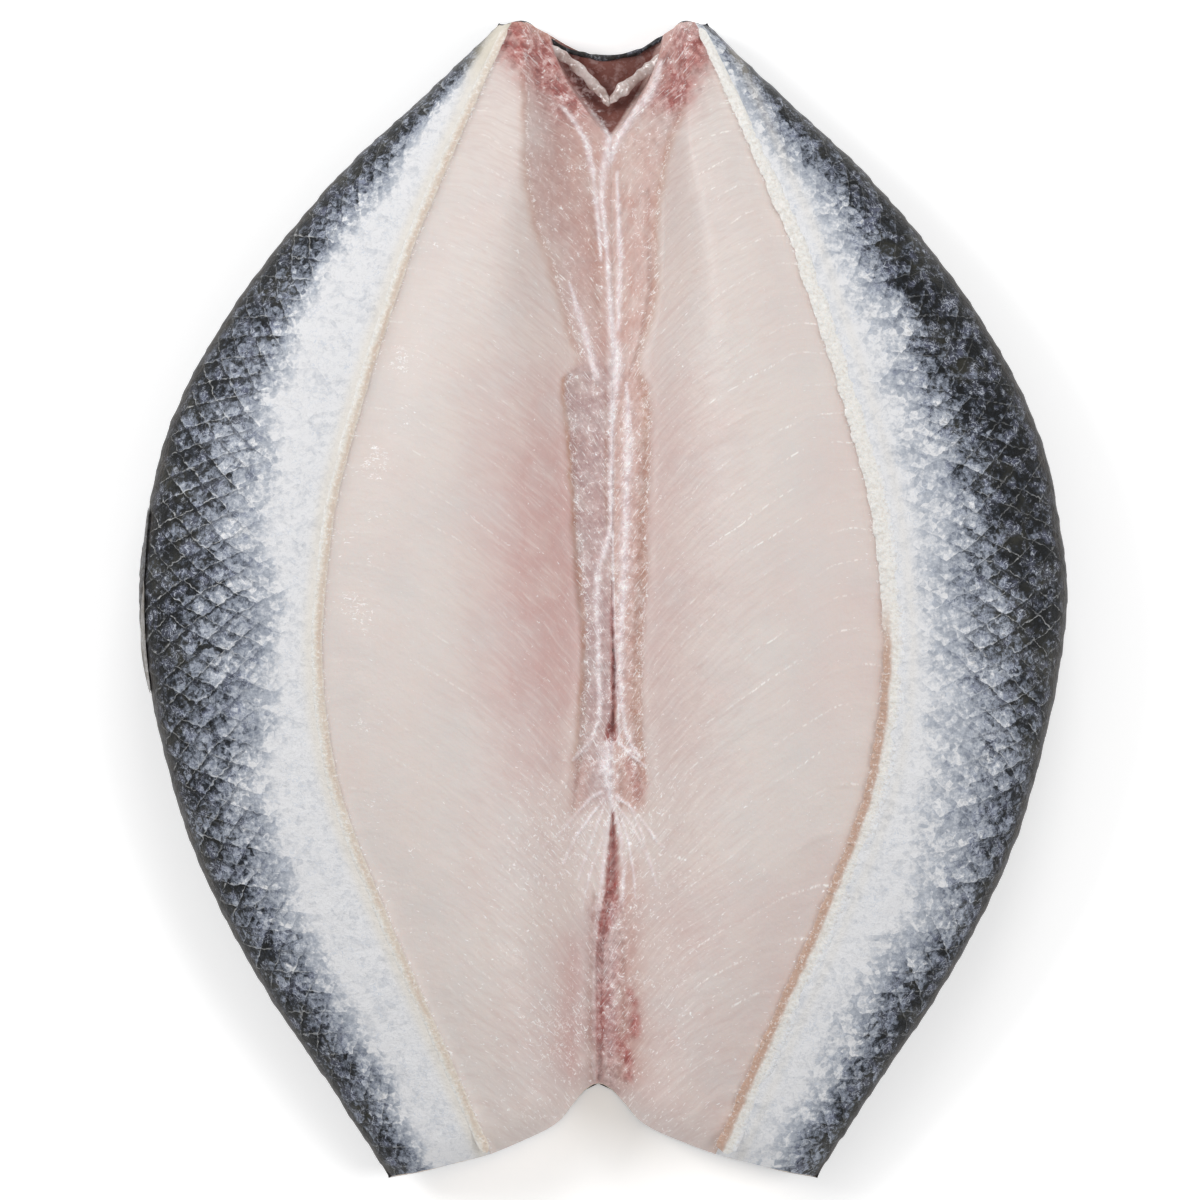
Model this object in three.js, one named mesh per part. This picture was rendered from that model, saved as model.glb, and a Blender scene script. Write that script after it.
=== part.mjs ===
// A milkfish opened along the belly and laid on its back, flesh side up.
// Two thick lobes of pale flesh meet in a sunken seam, which opens into a gap at the head end.
// The skin wraps under them, rolls over the outer sides and ends in a low rim beside the flesh.
// Millimetres, +Z up, +Y towards the head end. The origin is on the surface the piece lies on,
// under the middle of its outline.
import * as THREE from "three";
import { ParametricGeometry } from "three/addons/geometries/ParametricGeometry.js";
import { mergeGeometries, mergeVertices } from "three/addons/utils/BufferGeometryUtils.js";

// Driving dimensions, as [place along Y, value] stations from the tail end to the head end.
const HALF_WIDTH = [
  [-95.2, 35.2], [-82, 43.6], [-62.4, 56.6], [-42.8, 66.6], [-23, 72.6], [-3.4, 76],
  [9.7, 75.4], [29.3, 70.8], [49, 60], [68.6, 44.4], [81.7, 30.6], [95.2, 16.4],
];
const FLESH_HALF_WIDTH = [
  [-95.2, 16.5], [-84, 21.5], [-73, 26.2], [-51, 35.8], [-30, 43.4], [-10, 46], [7.5, 44.8],
  [18, 43.2], [36, 38.2], [49, 34], [59, 30.6], [70, 26], [84, 20], [95.2, 14.8],
];
const WAIST_HEIGHT = [[-95.2, 6.5], [-60, 11], [0, 13], [50, 11.5], [95.2, 5.5]];
const RIM_HEIGHT = [[-95.2, 15], [-60, 22.5], [-10, 27], [40, 24.5], [75, 17.5], [95.2, 11]];
const CREST_RISE = [[-95.2, 0.6], [-50, 2], [0, 2.6], [50, 2], [95.2, 0.6]];
const TROUGH_HALF_WIDTH = [[-95.2, 3.4], [-60, 4.6], [-33, 6], [36, 6.4], [50, 8.6], [80, 9.5]];
const TROUGH_EDGE_DROP = [[-95.2, 4], [-60, 7.5], [0, 9], [50, 8.5], [80, 5], [95.2, 1]];
const TROUGH_DEPTH = [[-95.2, 1], [-40, 1.8], [30, 2], [50, 3.2], [80, 2.6], [95.2, 0.8]];
const SEAM_OFFSET = [[-80, -0.8], [-57, 0], [-45, 0.8], [-22, 1.5], [20, 1.6], [76, 1.3]];
const KEEL_LIFT = [[-95.2, 1.8], [-70, 0.4], [-45, 0], [45, 0], [70, 0.5], [95.2, 2]];

// The two cut ends seen from above, as [distance from the middle, place along Y].
const TAIL_END = [
  [0, -79.9], [2, -80.7], [3.3, -82.1], [4.6, -83.6], [5.9, -85.3], [6.9, -86.4], [8.2, -87.4],
  [11.3, -89.3], [14.4, -90.7], [17.9, -91.8], [23.5, -93.1], [29, -94.3], [35.2, -95.2],
];
const HEAD_END = [
  [0, 89.4], [4.8, 90.2], [7.7, 91.6], [10.3, 93.5], [12.4, 94.8], [14.2, 95.2], [16.4, 94.6],
];
const LENGTH = 190.4;
const END_LEAN = 1.4; // how far the upper edge of a cut face stands back from the lower one
const END_ROUND = 6; // length over which the upper edge of an end rounds off
const END_DROP = 1.8;

// The gap between the tips of the two lobes, and the thin back wall that is its floor.
const GAP_HALF_WIDTH = [[75.8, 0], [81.2, 3.6], [85.3, 6.2], [89.4, 8.1], [95.2, 9.8]];
const GAP_FLOOR_HEIGHT = [[73, 10.5], [78, 6], [84, 4.2], [89, 5], [95.2, 5.6]];
const GAP_ROOM = 16; // beside less flesh than this, the columns and the seam's relief narrow

const CREST_PLACE = 0.6; // share of the flesh from the seam to the rim
const RIM_STEP = 0.9; // the skin's cut edge above the flesh beside it
const MEMBRANE_OFFSET = 1.6; // the two pale strips beside the seam
const MEMBRANE_HEIGHT = 0.8;
const MEMBRANE_SPREAD = 0.7;
const SLIT_DEPTH = 1.9;
const UNDERSIDE_POWER = 2.5;
const REST_DEPTH = 0.8; // how far the underside is pressed flat where it lies

// Columns of the mesh, in millimetres out from the seam and in from the rim, with even steps
// in the flesh between them and in the skin's turn beyond.
const SEAM_COLUMNS = [0, 0.35, 0.9, 1.6, 2.4, 4.2, 6.2];
const RIM_COLUMNS = [2.6, 1.3, 0.6, 0];
const FLESH_COLUMNS = 7;
const SKIN_COLUMNS = 8;
const SIDE_COLUMNS = SEAM_COLUMNS.length + FLESH_COLUMNS + RIM_COLUMNS.length + SKIN_COLUMNS - 2;
const ROWS = 46;
const HEAD_ROWS = { from: 0.74, reach: 0.86 }; // the last rows stand closer, for the gap
const END_FACE_ROWS = 2;

const { clamp, lerp, smoothstep } = THREE.MathUtils;

// A smooth curve through the stations: cubic pieces whose slopes come from the neighbours.
function along(stations, place) {
  const last = stations.length - 1;
  const at = clamp(place, stations[0][0], stations[last][0]);
  let i = 0;
  while (i < last - 1 && at > stations[i + 1][0]) i += 1;
  const slope = (k) => {
    const [before, after] = [stations[Math.max(k - 1, 0)], stations[Math.min(k + 1, last)]];
    return (after[1] - before[1]) / (after[0] - before[0]);
  };
  const [[p0, v0], [p1, v1]] = [stations[i], stations[i + 1]];
  const span = p1 - p0;
  const t = (at - p0) / span;
  const rise = t * t * (3 - 2 * t);
  return v0 * (1 - rise) + v1 * rise
    + span * (slope(i) * t * (1 - t) * (1 - t) - slope(i + 1) * t * t * (1 - t));
}

// How much the seam's and the rim's relief narrow where the gap leaves little flesh.
const squeezeAt = (y) =>
  Math.min(1, (along(FLESH_HALF_WIDTH, y) - along(GAP_HALF_WIDTH, y)) / GAP_ROOM);

// Distance of a column from the middle, at a place along Y.
function columnDistance(column, y) {
  if (column === 0) return 0;
  const [gap, flesh, squeeze] = [along(GAP_HALF_WIDTH, y), along(FLESH_HALF_WIDTH, y), squeezeAt(y)];
  if (column < SEAM_COLUMNS.length) return gap + SEAM_COLUMNS[column] * squeeze;
  const inFlesh = column - SEAM_COLUMNS.length + 1;
  if (inFlesh < FLESH_COLUMNS) {
    const inner = gap + SEAM_COLUMNS.at(-1) * squeeze;
    return lerp(inner, flesh - RIM_COLUMNS[0] * squeeze, inFlesh / FLESH_COLUMNS);
  }
  const inRim = inFlesh - FLESH_COLUMNS;
  if (inRim < RIM_COLUMNS.length) return flesh - RIM_COLUMNS[inRim] * squeeze;
  const turn = ((inRim - RIM_COLUMNS.length + 1) / SKIN_COLUMNS) * (Math.PI / 2);
  return lerp(flesh, along(HALF_WIDTH, y), Math.sin(turn));
}

// Where a point lies seen from above, with its distance from the middle.
function footprint(u, v, standBack) {
  const column = Math.round(Math.abs(2 * u - 1) * SIDE_COLUMNS);
  const lean = standBack * (1 - (column / SIDE_COLUMNS) ** 6);
  const tail = along(TAIL_END, columnDistance(column, TAIL_END.at(-1)[1])) + lean;
  const head = along(HEAD_END, columnDistance(column, HEAD_END.at(-1)[1])) - lean;
  const { from, reach } = HEAD_ROWS;
  const share = v < from ? (v / from) * reach : lerp(reach, 1, (v - from) / (1 - from));
  const y = lerp(tail, head, share);
  const distance = columnDistance(column, y);
  const towardsSeam = clamp(1 - distance / along(FLESH_HALF_WIDTH, y), 0, 1);
  const x = Math.sign(2 * u - 1) * distance + along(SEAM_OFFSET, y) * towardsSeam;
  const toEnd = Math.min(share, 1 - share) * LENGTH;
  return { x, y, distance, toEnd };
}

// Slow swellings of the soft flesh, none at the seam or the rim.
function unevenness(x, y, share) {
  const swell = 0.4 * Math.sin(x / 11 + 1) * Math.sin(y / 17 + 2)
    + 0.25 * Math.sin(x / 6.3 + 4) * Math.sin(y / 9.7 + 1);
  return swell * Math.sin(Math.PI * share);
}

// Height of the flesh, from the seam or the gap's wall out to the skin's rim.
function fleshHeight({ x, y, distance }) {
  const [gap, half, squeeze] = [along(GAP_HALF_WIDTH, y), along(FLESH_HALF_WIDTH, y), squeezeAt(y)];
  const out = Math.max(distance - gap, 0);
  const share = out / (half - gap);
  const rim = along(RIM_HEIGHT, y);
  const crest = rim + along(CREST_RISE, y);
  const trough = Math.min(along(TROUGH_HALF_WIDTH, y) / (half - gap), CREST_PLACE * 0.7);
  const climb = clamp((share - trough) / (CREST_PLACE - trough), 0, 1);
  const drop = along(TROUGH_EDGE_DROP, y) * (1 - Math.sin((climb * Math.PI) / 2));
  const fall = (crest - rim) * smoothstep(share, CREST_PLACE, 1);
  const inTrough = clamp(share / trough, 0, 1);
  const hollow = along(TROUGH_DEPTH, y) * (1 - inTrough * inTrough);
  const fromRim = (half - distance) / squeeze;
  const step = RIM_STEP * smoothstep(fromRim, 0, RIM_COLUMNS[2])
    * (1 - 0.8 * smoothstep(fromRim, RIM_COLUMNS[1], RIM_COLUMNS[0] * 1.5));
  const membrane = MEMBRANE_HEIGHT * squeeze
    * Math.exp(-(((out / squeeze - MEMBRANE_OFFSET) / MEMBRANE_SPREAD) ** 2));
  const flesh = crest - drop - fall - hollow - step + membrane + unevenness(x, y, share);
  const floorBelow = smoothstep(y, GAP_HALF_WIDTH[0][0] - 2, GAP_HALF_WIDTH[1][0]);
  const floor = lerp(flesh - SLIT_DEPTH, along(GAP_FLOOR_HEIGHT, y), floorBelow);
  return lerp(floor, flesh, smoothstep(out / squeeze, SEAM_COLUMNS[1] / 2, SEAM_COLUMNS[2] * 1.2));
}

// Height of the skin, from its rim round to the widest line of the body.
function sideSkinHeight({ y, distance }) {
  const half = along(FLESH_HALF_WIDTH, y);
  const reach = clamp((distance - half) / (along(HALF_WIDTH, y) - half), 0, 1);
  const waist = along(WAIST_HEIGHT, y);
  return waist + (along(RIM_HEIGHT, y) - waist) * Math.sqrt(1 - reach * reach);
}

function upperPoint(u, v, target) {
  const place = footprint(u, v, END_LEAN);
  const inFlesh = place.distance < along(FLESH_HALF_WIDTH, place.y);
  const height = inFlesh ? fleshHeight(place) : sideSkinHeight(place);
  const spare = Math.max(height - along(WAIST_HEIGHT, place.y), 0);
  const nearEnd = clamp(1 - place.toEnd / END_ROUND, 0, 1);
  target.set(place.x, place.y, height - Math.min(END_DROP, spare) * nearEnd * nearEnd);
}

function lowerPoint(u, v, target) {
  const { x, y, distance } = footprint(u, v, 0);
  const keel = along(KEEL_LIFT, y);
  const reach = clamp(distance / along(HALF_WIDTH, y), 0, 1);
  const round = 1 - (1 - reach ** UNDERSIDE_POWER) ** (1 / UNDERSIDE_POWER);
  const height = lerp(keel, along(WAIST_HEIGHT, y), round);
  target.set(x, y, Math.max(height - REST_DEPTH * (1 - reach ** 6), 0));
}

// The cut face at one end: straight from the underside up to the upper edge.
function endFace(v) {
  const upper = new THREE.Vector3();
  return (u, rise, target) => {
    upperPoint(u, v, upper);
    lowerPoint(u, v, target);
    target.lerp(upper, rise);
  };
}

// The same surface with its faces turned over, so that they point out of the piece.
const turned = (surface) => (u, v, target) => surface(1 - u, v, target);

function fishGeometry() {
  const slices = 2 * SIDE_COLUMNS;
  const shell = mergeGeometries([
    new ParametricGeometry(upperPoint, slices, ROWS),
    new ParametricGeometry(turned(lowerPoint), slices, ROWS),
    new ParametricGeometry(endFace(0), slices, END_FACE_ROWS),
    new ParametricGeometry(turned(endFace(1)), slices, END_FACE_ROWS),
  ]);
  shell.deleteAttribute("normal");
  shell.deleteAttribute("uv");
  const closed = mergeVertices(shell, 1e-3);
  closed.computeVertexNormals();
  return closed;
}

const fish = new THREE.Mesh(
  fishGeometry(),
  new THREE.MeshStandardMaterial({ color: "#d6c8c0", roughness: 0.35, metalness: 0 }),
);
fish.name = "milkfish_belly";

const part = new THREE.Group();
part.add(fish);

export default part;
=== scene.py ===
"""A raw milkfish opened along the belly and laid flesh side up: its looks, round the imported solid.

Each operator in the sidebar panel makes one kind of piece, or the stage. The pieces keep the
solid's form and add what it leaves out: overlapping scales, the lines and fibres of the flesh,
the fat along the cut edge of the skin, and the pale strands that run down the seam.
"""

import math
from functools import partial

import bpy
import numpy as np
from bpy.props import FloatProperty, FloatVectorProperty, PointerProperty
from bpy.types import NodeSocket, Operator, Panel, PropertyGroup
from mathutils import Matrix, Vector


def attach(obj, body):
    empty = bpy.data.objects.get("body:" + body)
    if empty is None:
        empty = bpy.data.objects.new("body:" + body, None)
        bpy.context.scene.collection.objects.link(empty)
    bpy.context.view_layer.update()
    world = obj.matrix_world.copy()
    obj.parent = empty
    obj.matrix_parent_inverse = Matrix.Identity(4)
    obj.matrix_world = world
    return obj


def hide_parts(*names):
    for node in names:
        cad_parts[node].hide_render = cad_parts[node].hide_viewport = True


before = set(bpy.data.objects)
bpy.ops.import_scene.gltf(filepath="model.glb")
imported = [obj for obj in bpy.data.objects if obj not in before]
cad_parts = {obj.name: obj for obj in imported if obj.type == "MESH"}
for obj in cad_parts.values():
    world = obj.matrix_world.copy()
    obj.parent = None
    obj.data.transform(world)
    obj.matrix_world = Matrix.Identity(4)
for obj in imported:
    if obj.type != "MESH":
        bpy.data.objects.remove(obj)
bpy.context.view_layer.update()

bl_info = {
    "name": "Milkfish Belly",
    "version": (1, 0, 0),
    "blender": (4, 5, 0),
    "location": "View3D > Sidebar > Milkfish",
    "description": "Makes the flesh, scaled skin, fat and seam strands of an opened milkfish",
    "category": "Object",
}

MM = 0.001
SOLID = "milkfish_belly"

# The solid's form, as (place along Y, value) stations from the tail end to the head end, in mm.
HALF_WIDTH = (
    (-95.2, 35.2), (-82, 43.6), (-62.4, 56.6), (-42.8, 66.6), (-23, 72.6), (-3.4, 76),
    (9.7, 75.4), (29.3, 70.8), (49, 60), (68.6, 44.4), (81.7, 30.6), (95.2, 16.4),
)
FLESH_HALF_WIDTH = (
    (-95.2, 16.5), (-84, 21.5), (-73, 26.2), (-51, 35.8), (-30, 43.4), (-10, 46), (7.5, 44.8),
    (18, 43.2), (36, 38.2), (49, 34), (59, 30.6), (70, 26), (84, 20), (95.2, 14.8),
)
WAIST_HEIGHT = ((-95.2, 6.5), (-60, 11), (0, 13), (50, 11.5), (95.2, 5.5))
RIM_HEIGHT = ((-95.2, 15), (-60, 22.5), (-10, 27), (40, 24.5), (75, 17.5), (95.2, 11))
CREST_RISE = ((-95.2, 0.6), (-50, 2), (0, 2.6), (50, 2), (95.2, 0.6))
TROUGH_HALF_WIDTH = ((-95.2, 3.4), (-60, 4.6), (-33, 6), (36, 6.4), (50, 8.6), (80, 9.5))
TROUGH_EDGE_DROP = ((-95.2, 4), (-60, 7.5), (0, 9), (50, 8.5), (80, 5), (95.2, 1))
TROUGH_DEPTH = ((-95.2, 1), (-40, 1.8), (30, 2), (50, 3.2), (80, 2.6), (95.2, 0.8))
SEAM_OFFSET = ((-80, -0.8), (-57, 0), (-45, 0.8), (-22, 1.5), (20, 1.6), (76, 1.3))
KEEL_LIFT = ((-95.2, 1.8), (-70, 0.4), (-45, 0), (45, 0), (70, 0.5), (95.2, 2))
GAP_HALF_WIDTH = ((75.8, 0), (81.2, 3.6), (85.3, 6.2), (89.4, 8.1), (95.2, 9.8))
GAP_FLOOR_HEIGHT = ((73, 10.5), (78, 6), (84, 4.2), (89, 5), (95.2, 5.6))
GAP_START, GAP_OPEN = 73.8, 81.2

# The two cut ends seen from above, as (distance from the middle, place along Y). The first
# station of the tail end mirrors its third, so that the notch is round in the middle.
TAIL_END = (
    (-2, -80.7), (0, -79.9), (2, -80.7), (3.3, -82.1), (4.6, -83.6), (5.9, -85.3), (7.2, -86.4),
    (8.9, -87.4), (13.1, -89.3), (16.4, -90.7), (19.6, -91.8), (24.8, -93.1), (29.7, -94.3),
    (35.2, -95.2),
)
HEAD_END = (
    (0, 89.4), (4.8, 90.2), (7.7, 91.6), (10.3, 93.5), (12.4, 94.8), (14.2, 95.2), (16.4, 94.6),
)
LENGTH = 190.4
END_LEAN, END_ROUND, END_DROP = 0.5, 6, 1.8  # how far an end leans in and its top is rounded
GAP_ROOM = 16  # flesh beside the gap that has room for the full relief
CREST_PLACE = 0.6  # where the flesh is highest between the seam and the rim
RIM_STEP = 0.9  # how far the flesh lies below the rim of the skin
UNDERSIDE_POWER, REST_DEPTH = 2.5, 0.8  # how square the underside is, and how far it is pressed
RIM_COLUMN_SHARE = 2 / 3  # where the rim stands between the seam and the outline, for the lean

# The slit along the seam: where it runs, its half width, its depth and how bloody it is.
SLIT_X = (
    (-80, -0.6), (-72.2, -0.5), (-62.1, -0.6), (-57.5, -0.4), (-54, 0.1), (-51, 0.8),
    (-48, 1.3), (-42.8, 1.6), (-35.9, 1.6), (-28, 1.4), (-21.5, 1.4), (-18, 1.7), (-11, 1.8),
    (-2, 1.5), (10, 1.7), (36, 1.9), (50, 1.9), (60, 1.5), (70, 1.3), (76, 1.2),
)
SLIT_HALF_WIDTH = (
    (-80, 0.6), (-62, 0.6), (-56.5, 0.7), (-53, 0.9), (-50.5, 1), (-46, 1), (-42, 0.8),
    (-38, 0.5), (-35.5, 0.3), (-33, 0.12), (-26, 0.12), (-24, 0.3), (-22.6, 0.95), (-20.6, 0.8),
    (-19.4, 0.35), (-17, 0.45), (-14, 0.5), (-8, 0.42), (-2, 0.3), (10, 0.2), (76, 0.2),
)
SLIT_DEPTH = (
    (-80, 0.4), (-60, 0.4), (-50, 0.7), (-43, 0.8), (-37, 0.6), (-34, 0.05), (-25, 0.05),
    (-23.5, 0.6), (-22, 1.2), (-20, 0.9), (-18.5, 0.5), (-14, 0.9), (-9, 0.8), (-3, 0.3),
    (10, 0.1), (76, 0.1),
)
SLIT_BLOOD = (
    (-80, 0.45), (-62, 0.5), (-56, 0.7), (-52, 0.95), (-40, 1), (-35.5, 0.8), (-33, 0),
    (-26, 0), (-24, 0.6), (-22, 1), (-18, 0.8), (-14, 1), (-8, 0.9), (-2, 0.7), (1, 0.35),
    (6, 0), (76, 0),
)

# How far the belly lining reaches from the seam, on the left and on the right.
LINING_REACH = {
    -1: (
        (-44, 3.0), (-33, 6.2), (-25, 5.9), (-20, 5.4), (-10, 4.7), (-3, 4.8), (4, 5.4),
        (10, 6.1), (20, 6.7), (28, 7.3), (36, 7.5), (38.5, 5.6), (43, 6.6), (49, 8.4), (54, 9.6),
        (58, 11.1), (61, 12.1), (68, 13.4), (81, 13.6), (95, 13.6),
    ),
    1: (
        (-44, 3.0), (-33, 6.0), (-25, 5.7), (-21, 5.2), (-16, 4.9), (-3, 5.2), (5, 5.6),
        (12, 5.8), (19, 6.1), (34, 6.2), (38, 4.4), (43, 5.6), (49, 7.3), (59, 7.8), (63, 7.9),
        (70, 9.0), (75.5, 10.6), (80, 12.3), (95, 14.5),
    ),
}

# Where the trough ends in a low ledge towards the head, on the left and on the right.
LEDGE = {-1: 36.4, 1: 35.2}

# Strands of fascia in the surface of the flesh, each a path of (x, y, width).
STRANDS = (
    ((1.1, 75.5, 1.3), (0.3, 71.6, 1.3), (-0.2, 68.3, 1.3), (-0.2, 65.4, 1.1), (0, 63.1, 1),
     (0.5, 58.8, 0.9), (0.8, 53.9, 0.9), (1.1, 49, 1), (1.6, 43.2, 1.5), (2.3, 38.8, 2),
     (2.1, 35.1, 1.8), (1.6, 31.3, 1.1), (1.5, 26, 0.8), (1.3, 19.5, 0.8), (1.3, 12.9, 0.8),
     (1, 10.3, 1.3), (0.3, 7.7, 1.1), (-0.7, 5.1, 1.1), (-1, -0.2, 1.1), (-0.8, -6.7, 1.1),
     (-0.7, -12, 1), (-0.5, -16.5, 1), (-0.8, -20.1, 1), (-1.8, -22.8, 0.8), (-3.4, -24.7, 0.7),
     (-4.9, -26.4, 0.5)),
    ((1.6, 11.3, 0.4), (1.6, 6.4, 0.4), (1.8, -0.2, 0.4), (2, -6.7, 0.5), (2.1, -13.3, 0.5),
     (2.5, -17.5, 0.6), (2.6, -20.8, 0.6), (2.5, -23.1, 0.6)),
    ((3.8, 35.2, 0.7), (4.1, 30.1, 1.3), (4.1, 24.4, 1.5), (3.8, 17.9, 1.5), (3.6, 11.3, 1.8),
     (3.4, 4.8, 2), (3.1, -1.8, 1.6), (2.8, -8.4, 1.5), (2.8, -14.9, 1.3), (3.3, -19, 1.1),
     (3.9, -22.3, 1), (4.8, -24.4, 0.8), (6.1, -25.9, 0.6)),
    ((1.3, -23.4, 1.3), (0.5, -25.1, 2.6), (0.5, -27.4, 2.6), (0.8, -29.6, 2.3),
     (1.1, -31.9, 1.6), (1.5, -33.9, 1)),
    ((0.2, -31.3, 0.6), (-2.1, -32.6, 0.6), (-4.6, -35.4, 0.5), (-7, -38.2, 0.4), (-9.7, -40.3, 0.2)),
    ((0.6, -32.2, 0.5), (-1.2, -34.4, 0.5), (-4.4, -38.8, 0.4), (-6.6, -43.4, 0.2)),
    ((0.5, -32.9, 0.5), (-0.8, -36.5, 0.5), (-2.5, -41.1, 0.5), (-4.1, -46, 0.3)),
    ((1.2, -34.4, 0.4), (-0.2, -39.6, 0.4), (-2.2, -45.2, 0.4), (-3.4, -51, 0.2)),
    ((1.3, -33.9, 0.7), (0.8, -37.2, 0.7), (0.3, -41.1, 0.7), (-0.2, -46, 0.7), (-0.8, -50.1, 0.6),
     (-1.5, -54.2, 0.5)),
    ((2.5, -23.4, 0.7), (4.8, -25.7, 0.6), (7, -27.4, 0.4)),
    ((2.1, -32.3, 0.6), (4.4, -33.9, 0.5), (6.9, -36.9, 0.4), (8.7, -39.5, 0.4),
     (10.3, -41.1, 0.2)),
    ((2, -33.4, 0.4), (4.4, -36.6, 0.4), (6.9, -41.4, 0.4), (8.1, -44.9, 0.2)),
    ((1.6, -33.9, 0.7), (2.5, -36.9, 0.7), (3.1, -40.5, 0.8), (3.4, -44.4, 0.9), (3.1, -48.5, 0.9),
     (2.8, -51.8, 0.9)),
    ((2.6, -34.8, 0.4), (4.1, -39.4, 0.4), (5, -44.8, 0.4), (5.3, -49, 0.2)),
    ((4.1, -33.3, 0.4), (6.1, -37.8, 0.4), (7.7, -43.1, 0.4), (8.7, -46.8, 0.2)),
    ((-4.9, 87.1, 1.1), (-3.4, 84.4, 1.6), (-1.5, 80.9, 1.8), (0, 78.1, 1.5), (0.8, 76.2, 1.1),
     (1, 74.2, 1)),
    ((-6.6, 80.6, 0.7), (-4.6, 78.1, 1), (-2.8, 75, 1.1), (-1.8, 71.4, 1.1), (-1.5, 68.3, 1),
     (-1, 64.5, 0.8), (-0.7, 60.4, 0.7), (-0.3, 55.5, 0.5)),
    ((-5.4, 51.4, 0.5), (-4.4, 48.2, 0.9), (-3.4, 44.9, 1.2), (-2.5, 41.6, 1.4),
     (-1.5, 37.8, 1.4), (-1, 35.9, 0.8)),
    ((9.5, 88, 1), (7.9, 83, 1.6), (6.1, 80.6, 1.8), (4.1, 78.1, 1.8), (2.6, 75.5, 1.6),
     (1.5, 73.2, 1.5), (0.8, 71.1, 1.3)),
    ((2.3, 69.9, 0.7), (2.6, 61.1, 1), (2.8, 57.2, 1.1), (2.8, 53.9, 1.1), (2.6, 49, 1),
     (2.5, 44.1, 0.8)),
    ((1.5, -50.1, 0.7), (1.6, -53.4, 1.3), (1.5, -59.1, 1.5), (1.5, -65.7, 1.6), (1.3, -72.2, 1.8),
     (1.1, -77.1, 1.6), (1, -78.8, 1)),
    ((0.2, -47.7, 0.5), (-0.8, -51.8, 0.7), (-1.5, -56.7, 0.7), (-1.5, -64, 0.7),
     (-1.6, -70.6, 0.7), (-1.6, -76.5, 0.7), (-1.3, -78.6, 0.5)),
)

# Brown creases between the strands and along the walls of the trough, as (x, y, width). The
# brown is partly the tissue's own and partly painted shade in the creases.
CREASES = (
    ((0.5, 33.9, 0.7), (0.5, 26, 0.8), (0.5, 16.2, 0.8), (0.7, 11.6, 0.5)),
    ((1.6, 16.2, 0.5), (1.5, 9.7, 0.7), (1.5, 3.1, 0.7), (1.3, -0.8, 0.7)),
    ((-3.1, 73.5, 1.3), (-2.3, 67, 2.1), (-1.5, 58.8, 1.8), (-1.1, 50.6, 1.8), (-0.5, 44.1, 1.3),
     (0.5, 37.2, 0.8)),
    ((7.4, 67, 0.8), (7.7, 50.6, 0.8), (6.1, 42.1, 0.7), (4.4, 36.9, 0.5)),
    ((6.6, 27.7, 1.6), (6.4, 16.2, 1.6), (6.2, 6.4, 1.5), (5.6, -3.4, 1.5), (4.9, -13.3, 1.3),
     (5.1, -23.1, 1.6), (5.7, -32.9, 1)),
    ((-4.6, 27.7, 0.7), (-4.8, 16.2, 0.9), (-4.4, 4.8, 1.2), (-3.4, -5.1, 1.2), (-2.9, -13.3, 1.1),
     (-3.6, -24.7, 0.9), (-4.9, -34.9, 0.7)),
    ((2.8, -28, 0.7), (2.9, -32.9, 0.8), (2.3, -42.8, 0.7)),
    ((-1.5, -48, 0.6), (-1.9, -56, 1.3), (-2.1, -66, 1.5), (-2, -78.8, 1.3)),
    ((3.2, -56, 0.8), (3.4, -64, 1.3), (3.1, -72, 1.3), (2.6, -78.6, 1.1)),
)
STRAND_ZONE = 13.0  # beyond this distance from the middle there are no strands or creases

# The two arms of the band across the gap and the lip behind it, as (x, y, width).
GAP_BAND = (
    ((-9.4, 91, 1.2), (-7, 89.4, 1.5), (-5.1, 88, 1.5), (-2.9, 86, 1.6), (-1.3, 84.2, 1.7),
     (0, 82.9, 1.7), (0.7, 81.6, 1.4), (0.9, 80.8, 0.8)),
    ((11.4, 90.6, 1.2), (9.7, 89.1, 1.7), (7.7, 87.3, 2), (5.6, 85.6, 2), (3.4, 83.8, 2),
     (2, 82.5, 1.6), (1.2, 81.3, 1.1)),
)
GAP_LIP = (
    (-9.6, 92.4, 0.6), (-6, 90.2, 0.8), (-3, 89.4, 0.8), (0, 88.9, 0.9), (3, 89.2, 0.9),
    (6, 90, 0.8), (10.6, 92.8, 0.6),
)

# Mesh density: columns along the girth and rows along the fish.
SEAM_ZONE = 9.0
PIT_COLUMNS, SEAM_ZONE_COLUMNS, LOBE_COLUMNS = 10, 45, 84
HIDDEN_SIDE_COLUMNS, HIDDEN_UNDER_COLUMNS, WALL_COLUMNS = 3, 14, 5
FLESH_ROWS = 585
SIDE_SKIN_COLUMNS, UNDER_SKIN_COLUMNS = 98, 90
SKIN_ROWS = 475
CAP_RINGS, INNER_SIDE_COLUMNS, TAPER_ROWS = 5, 4, 6
BAND_STEP, BLADE_STEP = 0.15, 0.25
NOISE_CELLS, NOISE_START = 128, 1000  # grains until the noise repeats, and its grain at 0

# The camera straight above, the width it sees at the height of the outline, and the soft lights
# as (name, place, size, power), in metres and watts. The sensor is in millimetres.
CAMERA_HEIGHT, PICTURE_HEIGHT = 2.0, 0.012
PICTURE_WIDTH, PICTURE_MIDDLE = 0.1966, (-0.0005, -0.0002)
SENSOR_WIDTH = 36
ROOM_LIGHT = 0.42
LIGHTS = (
    ("key_left", (-0.8, 0.35, 0.7), 0.4, 5.4),
    ("fill_right", (0.8, -0.1, 0.8), 0.5, 4.2),
    ("fill_head", (0.1, 0.9, 0.7), 0.4, 2.6),
)


# --- sizes and colours a user would change -----------------------------------------------------

def linear(hex_colour):
    """An sRGB hex colour as the linear red, green and blue that Blender works in."""
    parts = [int(hex_colour[i:i + 2], 16) / 255 for i in (1, 3, 5)]
    return tuple(c / 12.92 if c <= 0.04045 else ((c + 0.055) / 1.055) ** 2.4 for c in parts)


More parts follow.
